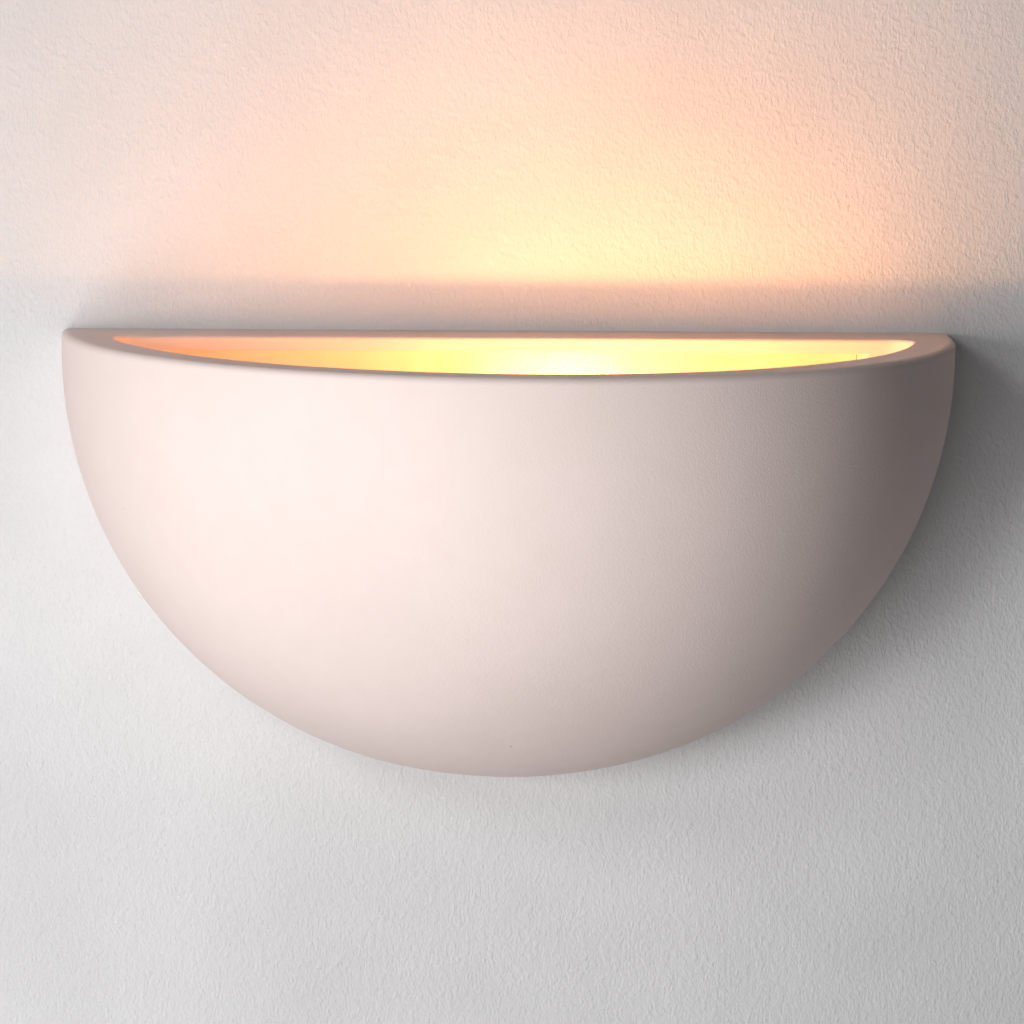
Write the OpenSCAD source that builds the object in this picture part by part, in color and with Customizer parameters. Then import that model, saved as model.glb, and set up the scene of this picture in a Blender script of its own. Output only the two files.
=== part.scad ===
// Uplighter wall sconce: a half-bowl ceramic shade that hangs on a pressed steel wall plate.
// Millimetres. X runs along the wall, -Y into the room, +Z up. The wall is the plane y = 0.
// The origin lies midway between the two wall screws.

/* [Shade] */
// Half of the shade's width along the wall, and how far it stands out
shade_r = 150; // [142:1:175]
// Height of the shade below its rim
shade_h = 149; // [140:1:175]
// Straight stretch of the side below the rim, which makes the bowl fuller than a sphere
shade_flat = 6; // [2:0.5:12]
// Wall thickness of the shade
shade_wall = 14; // [10:0.5:15]
// Rounding of the rim's outer edge
rim_outer_round = 2.5; // [1:0.25:4]
// Rounding of the rim's inner edge
rim_inner_round = 1.25; // [0.5:0.25:3]
// How far the bridge along the wall reaches into the room
bridge_depth = 22; // [20:0.5:28]
// Height of the bridge
bridge_h = 5; // [4:0.25:8]
// Rounding where the bridge meets the bowl
bridge_fillet = 7.5; // [2:0.5:10]
// Height of the two hanging lugs at the bridge's ends
lug_h = 14; // [12:0.5:20]
// Ceramic left between a lug's inner face and its slot
lug_wall = 2.5; // [2:0.25:6]

/* [Hanging] */
// Distance of each hook from the middle
hook_x = 124.5; // [118:0.5:125]
// Width of a hook
hook_w = 8; // [6:0.5:12]
// Height of a hook's upturned lip
lip_h = 5; // [3:0.25:6]
// How far a hook reaches out from the wall
hook_out = 13.5; // [12:0.25:16]
// Room around a lip in its slot
slot_gap = 0.6; // [0.4:0.1:1.5]
// Room above a lip in its slot
slot_head = 1.3; // [0.5:0.1:2]
// Gap between a lug and the hook that carries it
seat_gap = 0.3; // [0.2:0.05:0.5]

/* [Wall plate] */
// Radius of the plate's curved edge
plate_r = 128; // [120:0.5:128.5]
// Depth of the pressed tray
tray_depth = 7.5; // [6:0.25:9]
// Thickness of the plate's sheet steel
plate_sheet = 1.5; // [1:0.1:2]
// Height of the rim above the wall screws
rim_z = 41; // [38:0.5:46]
// Height of the plate below the wall screws
plate_drop = 78; // [70:1:80]
// Distance between the two wall screws
screw_spacing = 200; // [190:1:204]
// Radius of a wall screw hole
screw_hole_r = 2.75; // [2:0.05:3.5]
// Outer radius of the pressed cup around a wall screw
cup_r = 11; // [9:0.5:12]
// Gap under the bridge above the plate's top edge
top_gap = 1; // [0.5:0.1:2]
// Gap between the plate's upper part and the lug on each side
side_gap = 0.5; // [0.3:0.1:1.5]

/* [Cable entry] */
// Distance of the cable entry right of the middle
entry_x = 10; // [4:0.5:30]
// Distance of the cable entry below the wall screws
entry_drop = 38; // [30:1:50]
// Radius of the hole in the plate
entry_hole_r = 8; // [7:0.25:10]
// Radius of the grommet's bore
grommet_bore_r = 4; // [3:0.25:5]
// Radius of the grommet's flanges
grommet_flange_r = 10.5; // [9.5:0.25:13]
// Thickness of each grommet flange
grommet_flange_t = 2; // [1.5:0.25:3]

/* [Terminal block] */
// Distance of the block left of the middle
block_x = 34; // [28:0.5:36]
// Distance of the block below the wall screws
block_drop = 38; // [36:0.5:42]
// Distance between two poles
pole_pitch = 12; // [11.8:0.1:13]
// Length of a pole along its tube
pole_len = 17; // [16:0.5:19]
// Radius of the plastic barrel around a tube
barrel_r = 3.7; // [3.5:0.05:3.8]
// Thickness of the block's base
block_base = 3.5; // [3:0.25:4.5]
// Outer radius of a brass tube
tube_r = 2.5; // [2.3:0.05:2.8]
// Bore radius of a brass tube
tube_bore_r = 1.5; // [1.3:0.05:1.7]
// Radius of a terminal screw
clamp_screw_r = 1.25; // [1.1:0.05:1.35]
// Distance from a pole's middle to each terminal screw
clamp_screw_x = 4.3; // [3.8:0.1:4.6]
// Radius of the block's fixing screws
block_screw_r = 1.25; // [1:0.05:1.4]
// Head radius of the block's fixing screws
block_screw_head_r = 2.1; // [1.8:0.05:2.15]

/* [Earth] */
// Distance of the earth stud left of the middle
earth_x = 72; // [68:0.5:76]
// Radius of the earth stud
earth_stud_r = 1.95; // [1.8:0.05:2.2]
// Length of the earth stud in front of the plate
earth_stud_len = 11; // [8:0.5:14]
// Width of the earth nut across its flats
earth_nut_af = 7; // [6:0.1:8]
// Thickness of the earth nut
earth_nut_t = 3.2; // [2.5:0.1:4]

/* [Lamp bracket] */
// Distance of the lamp's axis from the wall
lamp_out = 72; // [66:0.5:78]
// Distance of the bracket's arm left of the middle
arm_x = 68; // [66:0.5:69]
// Thickness of the bracket's sheet steel
arm_sheet = 1.5; // [1:0.1:2]
// Height of the bracket
arm_w = 28; // [24:0.5:32]
// Length of the bracket's foot on the plate
foot_len = 24; // [20:0.5:26]
// Distance between the two rivets
rivet_spacing = 16; // [12:0.5:18]
// Shank radius of a rivet
rivet_r = 2; // [1.5:0.1:2.4]

/* [Lampholder] */
// Outer radius of the threaded nipple
nipple_r = 4.95; // [4.5:0.05:5.2]
// Bore radius of the nipple
nipple_bore_r = 3.6; // [3:0.05:3.8]
// Thickness of the nipple's lock nut
nipple_nut_t = 3.5; // [2.5:0.1:5]
// Width of the lock nut across its flats
nipple_nut_af = 14; // [12.5:0.1:16]
// Outer radius of the holder's cap
cap_r = 14; // [13:0.1:15]
// Outer radius of the holder's barrel
holder_r = 13.5; // [12.8:0.1:14]
// Wall thickness of the moulded parts
holder_wall = 2; // [1.6:0.1:2.4]
// Length of the cap
cap_len = 20.5; // [19:0.5:24]
// Length of the barrel in front of the cap
barrel_len = 34; // [33:0.5:36]

/* [Lamp] */
// Radius of the globe
globe_r = 22.5; // [20:0.25:25]
// Length of the lamp from its tip contact to the end of the globe
lamp_len = 76; // [72:0.5:82]
// Radius of the neck
neck_r = 7.6; // [7:0.05:7.7]
// Straight length of the neck in front of the cap
neck_len = 0.6; // [0.2:0.1:2]
// Thickness of the glass
glass_t = 0.8; // [0.5:0.05:1.2]
// Outer radius of the screw cap's thread
thread_r = 6.95; // [6.8:0.01:7]
// Pitch of the screw thread
thread_pitch = 2.82; // [2.7:0.01:2.9]
// Number of thread turns on the cap
thread_turns = 5; // [4:1:5]
// Radius of the arc that the filament follows
filament_arc_r = 9.5; // [8:0.25:12]
// Radius of the coiled filament
filament_r = 0.45; // [0.3:0.05:0.6]

/* [Wiring] */
// Outer radius of the internal wires
wire_r = 0.9; // [0.7:0.05:1.1]

/* [Hidden] */
$fn = 96;

fit = 0.05;    // clearance of a piece that sits in a hole or on a shaft
cut = 1;       // how far a cutting shape runs past the face that it cuts
round_fn = 48; // sides of the small round pieces

ceramic_white = "#EFE4DE";
plate_white = "#F4F1EC";
zinc = "#B9BDC1";
brass = "#C9A552";
moulded_white = "#E9E6DF";

// --- shade, worked out from its driving sizes
side_r = min(shade_r, shade_h) - shade_flat; // radius of the bowl's curved side
inner_r = shade_r - shade_wall;
bridge_half = shade_r - shade_wall / 2;      // the bridge ends inside the bowl's wall
bridge_bottom = rim_z - bridge_h;
lug_bottom = rim_z - lug_h;
slot_w = hook_w + 2 * slot_gap;
lug_x = hook_x - slot_w / 2 - lug_wall;      // inner face of a lug
lug_round = lug_wall;                        // rounding of a lug's front inner edge
fillet_y = bridge_depth + bridge_fillet;
fillet_x = sqrt(pow(inner_r - bridge_fillet, 2) - pow(fillet_y, 2));
fillet_reach = inner_r / (inner_r - bridge_fillet); // from the fillet's centre to the bowl

// --- wall plate
face_back = tray_depth - plate_sheet;        // back of the tray's face, measured from the wall
plate_top = bridge_bottom - top_gap;
shoulder_top = lug_bottom - seat_gap;
shoulder_x = lug_x - side_gap;
entry_z = -entry_drop;

// --- terminal block
block_z = -block_drop;
pole_count = 3;
block_len_z = pole_count * pole_pitch;
tube_len = pole_len - 2;
tube_y = -(tray_depth + block_base + barrel_r - 0.8);
chimney_r = clamp_screw_r + 1.3;
chimney_out = 6.8;                           // height of a chimney above the tube's axis
clamp_screw_len = 5;
clamp_head_r = clamp_screw_r + 0.25;
pole_z = [for (i = [0 : pole_count - 1]) block_z + (1 - i) * pole_pitch];
block_left = -block_x - pole_len / 2;
block_screw_z = [block_z - pole_pitch / 2, block_z + pole_pitch / 2];
block_screw_head_t = 1.6;
block_screw_tail = 3;                        // length behind the plate's face

// --- earth
earth_z = pole_z[2];
tag_t = 0.8;
tag_ring_r = earth_stud_r + 2;
tag_barrel_r = 1.7;
tag_barrel_x = earth_stud_r + 4.5;           // start of the tag's barrel, from the stud
tag_barrel_len = 7;
washer_t = 0.8;
earth_washer_r = earth_stud_r + 1.9;
stud_head_r = 3.4;
stud_head_t = 1.2;

// --- lamp bracket and lampholder, along the lamp's axis
lamp_y = -lamp_out;
lamp_z = 0;
arm_front = -arm_x + arm_sheet;              // the arm's face towards the lampholder
rivet_x = arm_front + foot_len / 2;
rivet_head_r = rivet_r * 2;
rivet_head_t = 1.1;
nipple_hole_r = nipple_r + 2 * fit;
nipple_washer_r = nipple_nut_af / 2 + 1.2;
nut_start = -arm_x - washer_t;
nipple_start = nut_start - nipple_nut_t - 3;
nipple_end = arm_front + 7.5;
cap_hub_r = 9;
cap_hub_len = 6;
cap_end = arm_front + cap_len;
cap_inner_r = cap_r - holder_wall;
spigot_len = 4;
spigot_r = cap_inner_r - fit;
barrel_inner_r = holder_r - holder_wall;
barrel_end = cap_end + barrel_len;
mouth_r = thread_r + 1.35;
mouth_t = 2;
insert_r = barrel_inner_r - fit;
insert_start = cap_end + 2;
insert_base = 12;
insert_seat = insert_start + insert_base;
shell_inner_r = thread_r + 0.4;
shell_t = 0.5;
shell_len = 17;
shell_collar_r = 4;
insert_bore_r = shell_inner_r + shell_t + fit;
insert_end = barrel_end - mouth_t - 0.5;
contact_t = 0.4;
contact_w = 3;
contact_gap = 0.3;                           // between the spring contact and the lamp's tip
terminal_len = 6;
terminal_w = 4.4;
terminal_h = 5;
terminal_z = 5.6;                            // distance of a holder terminal from the axis
terminal_hole_r = wire_r + 0.25;
terminal_screw_r = 1.1;
terminal_screw_head_r = 1.7;
terminal_screw_head_t = 1;

// --- lamp
tip_start = insert_seat + 4;
tip_r = 2.2;
tip_t = 1.3;
insulator_t = 4;
insulator_r = thread_r - 0.7;
cap_start = tip_start + tip_t + insulator_t - 0.8;
cap_sheet = 0.3;
groove_r = thread_r - 0.6;
crest = 0.35;                                // share of the pitch that a thread crest takes
skirt_start = cap_start + thread_turns * thread_pitch + 0.6;
skirt_len = 5;
skirt_r = neck_r + 0.9;
cap_end_x = skirt_start + skirt_len;
cap_bore_r = groove_r - cap_sheet;
neck_seat = (neck_r + fit - cap_bore_r) / (skirt_r - cap_sheet - cap_bore_r); // share of the skirt
globe_x = tip_start + lamp_len - globe_r;
neck_start = skirt_start + skirt_len * neck_seat;
neck_x = neck_start + neck_len;              // where the neck starts to widen
// radius of the hollow curve that leaves the neck straight and meets the globe smoothly
shoulder_r = (pow(globe_x - neck_x, 2) + pow(neck_r, 2) - pow(globe_r, 2)) / (2 * (globe_r - neck_r));
touch = globe_r / (globe_r + shoulder_r);    // share of the way to where neck curve meets globe
touch_x = globe_x - (globe_x - neck_x) * touch;
stem_flare_r = neck_r - glass_t - 0.4;
stem_neck_r = 2.8;
press_r = 3.6;
press_end = globe_x - 16.5;
rod_r = 1.3;
button_r = 2.2;
button_x = globe_x - 9.5;
filament_half_angle = 62;
filament_x = globe_x - filament_arc_r + 1.5; // centre of the filament's arc
filament_end_x = filament_x + filament_arc_r * cos(filament_half_angle);
filament_end_y = filament_arc_r * sin(filament_half_angle);
lead_r = 0.35;
lead_root = 2.4;
support_r = 0.2;
touch_gap = 0.05;

// --- wires: each route runs from the lampholder, or from the earth tag, to the terminal block
wire_sides = 8;
wire_steps = 2;                              // rings between two points of a route
pair_gap = wire_r + 0.5;                     // half the distance between the wires in the nipple
wire_bit = wire_r + 0.1;                     // shortest straight bit of a route
wire_loop = 10;                              // how far the wires reach out past the nipple
wire_inside = 4;
wire_end_x = block_left + wire_inside;
terminal_front = insert_start - terminal_len;
tag_barrel_end = -earth_x + tag_barrel_x + tag_barrel_len;
tag_barrel_y = -tray_depth - tag_barrel_r;

// The loop behind the nipple, point by point: its share of the reach to the left, of the way
// back to the block's tubes, and of the way down to the wire's own pole
wire_bends = [
    [0.4, 0.01, 0], [0.8, 0.1, 0.04], [1, 0.28, 0.15], [1, 0.52, 0.3],
    [0.9, 0.76, 0.6], [0.4, 0.91, 0.85], [-0.7, 0.98, 1]
];

function lamp_wire_route(side, pole) = concat(
    [
        [terminal_front + 2 * wire_bit, lamp_y, side * terminal_z],
        [terminal_front - wire_bit, lamp_y, side * terminal_z],
        [nipple_end + wire_bit, lamp_y, side * (pair_gap + wire_r)],
        [nipple_end - 2 * wire_bit, lamp_y, side * pair_gap],
        [nipple_start + 2 * wire_bit, lamp_y, side * pair_gap]
    ],
    [for (bend = wire_bends) [
        nipple_start - wire_loop * bend[0],
        lamp_y + (tube_y - lamp_y) * bend[1],
        side * pair_gap + (pole - side * pair_gap) * bend[2]
    ]],
    [
        [block_left - wire_loop, tube_y - wire_bit, pole],
        [block_left - 3 * wire_bit, tube_y, pole],
        [wire_end_x, tube_y, pole]
    ]
);

earth_route = [
    [tag_barrel_end - wire_inside, tag_barrel_y, earth_z],
    [tag_barrel_end + wire_bit / 2, tag_barrel_y, earth_z],
    [tag_barrel_end + wire_bit * 1.5, tag_barrel_y, earth_z],
    [tag_barrel_end + wire_bit * 5, tag_barrel_y - wire_bit * 3, earth_z - wire_bit],
    [block_left - 4 * wire_bit, tube_y - wire_bit, earth_z - wire_bit / 2],
    [block_left - wire_bit, tube_y, earth_z],
    [wire_end_x, tube_y, earth_z]
];

// ---------------------------------------------------------------- helpers

// Stands a flat outline, drawn as x and z, up against the wall, out from the distance given
module on_wall(out, depth) {
    translate([0, -out, 0]) rotate([90, 0, 0]) linear_extrude(depth) children();
}

// Lays what is drawn along +Z along the lamp's axis instead, from x
module on_lamp_axis(x = 0) {
    translate([x, lamp_y, lamp_z]) rotate([0, 90, 0]) children();
}

// Turns a drawn half section about the lamp's axis; its second coordinate is x
module turned() {
    on_lamp_axis() rotate_extrude() children();
}

// A rectangle given by two of its corners
module box2(low, high) {
    translate(low) square(high - low);
}

// A round wire between two points
module wire_rod(from, to, r) {
    way = to - from;
    len = norm(way);
    translate(from)
        rotate([0, acos(way[2] / len), atan2(way[1], way[0])])
            cylinder(h = len, r = r, $fn = round_fn);
}

function unit(v) = v / norm(v);

// A point between b and c on a smooth curve through four points
function between(a, b, c, d, t) =
    0.5 * (2 * b + (c - a) * t + (2 * a - 5 * b + 4 * c - d) * t * t
        + (3 * b - a - 3 * c + d) * t * t * t);

// A smooth curve through all points of a route
function smooth(route) = let (last = len(route) - 1) [
    for (i = [0 : last - 1], s = [0 : wire_steps - 1])
        between(route[max(i - 1, 0)], route[i], route[i + 1], route[min(i + 2, last)],
            s / wire_steps),
    route[last]
];

function heading(path, i) = unit(path[min(i + 1, len(path) - 1)] - path[max(i - 1, 0)]);
function upright(v, along) = unit(v - (v * along) * along);

// A tube swept along a route without twisting
module swept_wire(route) {
    path = smooth(route);
    last = len(path) - 1;
    sides = [for (i = 0, u = upright([0, 0.3, 1], heading(path, 0)); i <= last;
        i = i + 1, u = upright(u, heading(path, min(i, last)))) u];
    rings = [for (i = [0 : last], k = [0 : wire_sides - 1])
        let (u = sides[i], v = cross(heading(path, i), u), turn = 360 * k / wire_sides)
        path[i] + wire_r * (cos(turn) * u + sin(turn) * v)];
    walls = [for (i = [0 : last - 1], k = [0 : wire_sides - 1])
        let (a = i * wire_sides + k, b = i * wire_sides + (k + 1) % wire_sides)
        each [[a, a + wire_sides, b], [b, a + wire_sides, b + wire_sides]]];
    start_cap = [for (k = [0 : wire_sides - 1]) k];
    end_cap = [for (k = [wire_sides - 1 : -1 : 0]) last * wire_sides + k];
    polyhedron(points = rings, faces = concat(walls, [start_cap, end_cap]), convexity = 6);
}

// A bar with six flat sides along +Z
module hex_bar(across_flats, h) {
    cylinder(h = h, r = across_flats / 2 / cos(30), $fn = 6);
}

// ---------------------------------------------------------------- shade

// Half section of a bowl: radius and height below the rim, with the side's arc
module bowl_section(r, h, arc) {
    box2([0, -h], [r - arc, 0]);
    box2([0, -(h - arc)], [r, 0]);
    intersection() {
        translate([r - arc, -(h - arc)]) circle(arc);
        box2([0, -h], [r, 0]);
    }
}

// The material that rounding an outer corner takes away, with the corner at the top right
module corner_waste(r) {
    difference() {
        box2([-r, -r], [cut, cut]);
        translate([-r, -r]) circle(r, $fn = round_fn);
        box2([-r - cut, -r - cut], [-r, cut]);
    }
}

module shade_section() {
    difference() {
        bowl_section(shade_r, shade_h, side_r);
        bowl_section(inner_r, shade_h - shade_wall, side_r - shade_wall);
        box2([-cut, -cut], [inner_r, cut]);
        translate([shade_r, 0]) corner_waste(rim_outer_round);
        translate([inner_r, 0]) mirror([1, 0]) corner_waste(rim_inner_round);
    }
}

// The bridge across the back, drawn from the side
module bridge() {
    translate([-bridge_half, 0, rim_z]) rotate([90, 0, 90])
        linear_extrude(2 * bridge_half) difference() {
            box2([-bridge_depth, -bridge_h], [0, 0]);
            translate([-bridge_depth, 0]) mirror([1, 0]) corner_waste(rim_inner_round);
        }
}

// A hanging lug at the bridge's right end, from above
module lug_plan() {
    box2([lug_x + lug_round, -bridge_depth], [bridge_half, 0]);
    box2([lug_x, -bridge_depth + lug_round], [bridge_half, 0]);
    translate([lug_x + lug_round, -bridge_depth + lug_round]) circle(lug_round);
    difference() {
        polygon([
            [fillet_x, -bridge_depth],
            [bridge_half, -bridge_depth],
            [fillet_x * fillet_reach, -fillet_y * fillet_reach],
            [fillet_x, -fillet_y]
        ]);
        translate([fillet_x, -fillet_y]) circle(bridge_fillet);
    }
}

module hook_slot() {
    translate([hook_x - slot_w / 2, -hook_out - slot_gap, lug_bottom - cut])
        cube([slot_w, plate_sheet + 2 * slot_gap, cut + lip_h - seat_gap + slot_head]);
}

module shade() {
    color(ceramic_white) difference() {
        union() {
            translate([0, 0, rim_z]) rotate([0, 0, 180]) rotate_extrude(angle = 180)
                shade_section();
            bridge();
            for (side = [0, 1]) mirror([side, 0, 0])
                translate([0, 0, lug_bottom]) linear_extrude(lug_h - rim_inner_round) lug_plan();
        }
        for (side = [0, 1]) mirror([side, 0, 0]) hook_slot();
    }
}

// ---------------------------------------------------------------- wall plate

module plate_outline(inset) {
    intersection() {
        translate([0, rim_z]) circle(plate_r - inset);
        union() {
            box2([-plate_r, -plate_drop + inset], [plate_r, shoulder_top - inset]);
            box2([-shoulder_x + inset, -plate_drop + inset], [shoulder_x - inset, plate_top - inset]);
        }
    }
}

module at_wall_screws() {
    for (side = [-1, 1]) translate([side * screw_spacing / 2, 0]) children();
}

module plate_holes() {
    at_wall_screws() circle(cup_r - plate_sheet);
    translate([entry_x, entry_z]) circle(entry_hole_r);
    translate([-earth_x, earth_z]) circle(earth_stud_r + fit);
    for (z = block_screw_z) translate([-block_x, z]) circle(block_screw_r + fit, $fn = round_fn);
    for (side = [-1, 1]) translate([rivet_x, lamp_z + side * rivet_spacing / 2])
        circle(rivet_r + fit, $fn = round_fn);
}

// A shelf bent forward from the tray with its lip turned up
module hook() {
    translate([hook_x - hook_w / 2, -hook_out, shoulder_top - plate_sheet]) {
        cube([hook_w, hook_out - face_back, plate_sheet]);
        cube([hook_w, plate_sheet, plate_sheet + lip_h]);
    }
}

module wall_plate() {
    color(plate_white) union() {
        on_wall(face_back, plate_sheet) difference() {
            plate_outline(0);
            plate_holes();
        }
        on_wall(0, tray_depth - plate_sheet / 2) difference() {
            plate_outline(0);
            plate_outline(plate_sheet);
        }
        on_wall(0, tray_depth) at_wall_screws() difference() {
            circle(cup_r);
            circle(cup_r - plate_sheet);
        }
        on_wall(0, plate_sheet) at_wall_screws() difference() {
            circle(cup_r - plate_sheet / 2);
            circle(screw_hole_r);
        }
        for (side = [0, 1]) mirror([side, 0, 0]) hook();
    }
}

module cable_grommet() {
    front = tray_depth;
    color("#3A3A3C") translate([entry_x, 0, entry_z]) rotate([90, 0, 0]) rotate_extrude()
        difference() {
            box2([grommet_bore_r, face_back - grommet_flange_t],
                [grommet_flange_r, front + grommet_flange_t]);
            box2([entry_hole_r - fit, face_back - fit], [grommet_flange_r + cut, front + fit]);
        }
}

// ---------------------------------------------------------------- terminal block

// Places its children with +Z along the tubes at each pole
module at_poles() {
    for (z = pole_z) translate([-block_x, tube_y, z]) rotate([0, 90, 0]) children();
}

// Places its children at each terminal screw with +Z pointing out of the wall
module at_clamp_screws() {
    for (z = pole_z, side = [-1, 1])
        translate([-block_x + side * clamp_screw_x, tube_y, z]) rotate([90, 0, 0]) children();
}

module terminal_block() {
    color(moulded_white) difference() {
        union() {
            translate([-block_x - pole_len / 2, -tray_depth - block_base, block_z - block_len_z / 2])
                cube([pole_len, block_base, block_len_z]);
            at_poles() cylinder(h = pole_len, r = barrel_r, center = true);
            at_clamp_screws() cylinder(h = chimney_out, r = chimney_r);
        }
        at_poles() cylinder(h = pole_len + 2 * cut, r = tube_r + fit, center = true);
        at_clamp_screws() cylinder(h = chimney_out + cut, r = clamp_head_r + fit);
        for (z = block_screw_z) translate([-block_x, 0, z]) rotate([90, 0, 0])
            cylinder(h = tray_depth + block_base + cut, r = block_screw_r + fit);
    }
}

module terminal_tubes() {
    color(brass) difference() {
        at_poles() cylinder(h = tube_len, r = tube_r, center = true);
        at_poles() cylinder(h = tube_len + 2 * cut, r = tube_bore_r, center = true);
        at_clamp_screws() cylinder(h = chimney_out, r = clamp_screw_r + fit, $fn = round_fn);
    }
}

module terminal_screws() {
    slot_t = 0.5;
    start = tube_bore_r - 0.4;
    color(zinc) at_clamp_screws() difference() {
        union() {
            translate([0, 0, start]) cylinder(h = clamp_screw_len, r = clamp_screw_r, $fn = round_fn);
            translate([0, 0, tube_r + 2 * fit])
                cylinder(h = start + clamp_screw_len - tube_r, r = clamp_head_r, $fn = round_fn);
        }
        translate([-slot_t / 2, -cut - clamp_head_r, start + clamp_screw_len - slot_t])
            cube([slot_t, 2 * (clamp_head_r + cut), cut + slot_t]);
    }
}

module block_screws() {
    cross_t = 0.6;
    color(zinc) for (z = block_screw_z)
        translate([-block_x, -face_back + block_screw_tail, z]) rotate([90, 0, 0]) {
            seat = block_screw_tail + plate_sheet + block_base;
            difference() {
                union() {
                    cylinder(h = seat + cross_t, r = block_screw_r, $fn = round_fn);
                    translate([0, 0, seat + fit])
                        cylinder(h = block_screw_head_t, r = block_screw_head_r, $fn = round_fn);
                }
                for (turn = [0, 90]) rotate([0, 0, turn]) translate([
                    -block_screw_head_r / 2, -cross_t / 2, seat + block_screw_head_t - cross_t
                ]) cube([block_screw_head_r, cross_t, cross_t + cut]);
            }
        }
}

// ---------------------------------------------------------------- earth

// Places its children on the earth stud's axis with +Z pointing out of the wall
module on_earth_stud(out) {
    translate([-earth_x, -out, earth_z]) rotate([90, 0, 0]) children();
}

module earth_stud() {
    color(zinc) {
        on_earth_stud(face_back) cylinder(h = plate_sheet + earth_stud_len, r = earth_stud_r);
        on_earth_stud(face_back - stud_head_t) cylinder(h = stud_head_t, r = stud_head_r);
    }
}

// A crimped ring: its flat tongue lies on the plate and its barrel holds the wire
module earth_tag() {
    tongue_w = 3;
    color("#C9CCCE") difference() {
        union() {
            on_earth_stud(tray_depth) cylinder(h = tag_t, r = tag_ring_r);
            translate([-earth_x, -tray_depth - tag_t, earth_z - tongue_w / 2])
                cube([tag_barrel_x + cut, tag_t, tongue_w]);
            translate([-earth_x + tag_barrel_x, tag_barrel_y, earth_z])
                rotate([0, 90, 0]) cylinder(h = tag_barrel_len, r = tag_barrel_r);
        }
        on_earth_stud(0) cylinder(h = tray_depth + tag_t + cut, r = earth_stud_r + fit);
        translate([-earth_x + tag_barrel_x + tag_t, tag_barrel_y, earth_z])
            rotate([0, 90, 0]) cylinder(h = tag_barrel_len + cut, r = wire_r + fit);
    }
}

// A washer with slots around its edge, along +Z
module toothed_washer(inner, outer, teeth) {
    tooth_gap = 0.8;
    difference() {
        cylinder(h = washer_t, r = outer);
        translate([0, 0, -cut]) cylinder(h = washer_t + 2 * cut, r = inner);
        for (i = [1 : teeth]) rotate([0, 0, 360 * i / teeth])
            translate([(inner + outer) / 2, -tooth_gap / 2, -cut])
                cube([outer, tooth_gap, washer_t + 2 * cut]);
    }
}

module earth_washer() {
    color(zinc) on_earth_stud(tray_depth + tag_t)
        toothed_washer(earth_stud_r + fit, earth_washer_r, 8);
}

module earth_nut() {
    color(brass) on_earth_stud(tray_depth + tag_t + washer_t) difference() {
        hex_bar(earth_nut_af, earth_nut_t);
        translate([0, 0, -cut]) cylinder(h = earth_nut_t + 2 * cut, r = earth_stud_r + fit);
    }
}

// ---------------------------------------------------------------- lamp bracket

module lamp_bracket() {
    color(plate_white) difference() {
        union() {
            translate([-arm_x, -lamp_out, lamp_z - arm_w / 2])
                cube([arm_sheet, lamp_out - tray_depth, arm_w]);
            on_lamp_axis(-arm_x) cylinder(h = arm_sheet, r = arm_w / 2);
            translate([-arm_x, -tray_depth - arm_sheet, lamp_z - arm_w / 2])
                cube([foot_len + arm_sheet, arm_sheet, arm_w]);
        }
        on_lamp_axis(-arm_x - cut) cylinder(h = arm_sheet + 2 * cut, r = nipple_hole_r);
        for (side = [-1, 1]) translate([rivet_x, 0, lamp_z + side * rivet_spacing / 2])
            rotate([90, 0, 0])
                cylinder(h = tray_depth + arm_sheet + cut, r = rivet_r + fit, $fn = round_fn);
    }
}

module bracket_rivets() {
    grip = plate_sheet + arm_sheet;
    color(zinc) for (side = [-1, 1])
        translate([rivet_x, -face_back, lamp_z + side * rivet_spacing / 2]) rotate([90, 0, 0]) {
            cylinder(h = grip, r = rivet_r, $fn = round_fn);
            translate([0, 0, grip]) cylinder(h = rivet_head_t, r1 = rivet_head_r, r2 = rivet_r,
                $fn = round_fn);
            translate([0, 0, -rivet_head_t])
                cylinder(h = rivet_head_t, r = rivet_head_r * 0.8, $fn = round_fn);
        }
}

// ---------------------------------------------------------------- lampholder

module holder_nipple() {
    color(brass) turned() box2([nipple_bore_r, nipple_start], [nipple_r, nipple_end]);
}

module nipple_washer() {
    color(zinc) on_lamp_axis(-arm_x - washer_t)
        toothed_washer(nipple_r + fit, nipple_washer_r, 12);
}

module nipple_nut() {
    color(zinc) on_lamp_axis(nut_start - nipple_nut_t) difference() {
        hex_bar(nipple_nut_af, nipple_nut_t);
        translate([0, 0, -cut]) cylinder(h = nipple_nut_t + 2 * cut, r = nipple_r + fit);
    }
}

module holder_cap() {
    dome_r = cap_r - cap_hub_r;
    color(moulded_white) turned() difference() {
        union() {
            box2([0, arm_front], [cap_hub_r, cap_end]);
            box2([0, arm_front + dome_r], [cap_r, cap_end]);
            translate([cap_hub_r, arm_front + dome_r]) circle(dome_r);
        }
        box2([-cut, arm_front - cut], [nipple_r + fit, cap_end]);
        box2([-cut, arm_front + cap_hub_len], [cap_inner_r, cap_end + cut]);
        box2([-cap_r, arm_front - cut], [0, cap_end + cut]);
    }
}

module holder_barrel() {
    rib_count = 3;
    rib_step = 4;
    color(moulded_white) turned() {
        difference() {
            box2([spigot_r - holder_wall, cap_end - spigot_len], [spigot_r, cap_end + cut]);
            box2([0, cap_end], [barrel_inner_r, cap_end + 2 * cut]);
        }
        difference() {
            box2([mouth_r, cap_end], [holder_r, barrel_end]);
            box2([0, cap_end - cut], [barrel_inner_r, barrel_end - mouth_t]);
            translate([holder_r, barrel_end]) corner_waste(mouth_t / 2);
            for (i = [1 : rib_count])
                translate([holder_r, barrel_end - mouth_t - i * rib_step])
                    circle(holder_wall / 4, $fn = round_fn);
        }
    }
}

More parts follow.
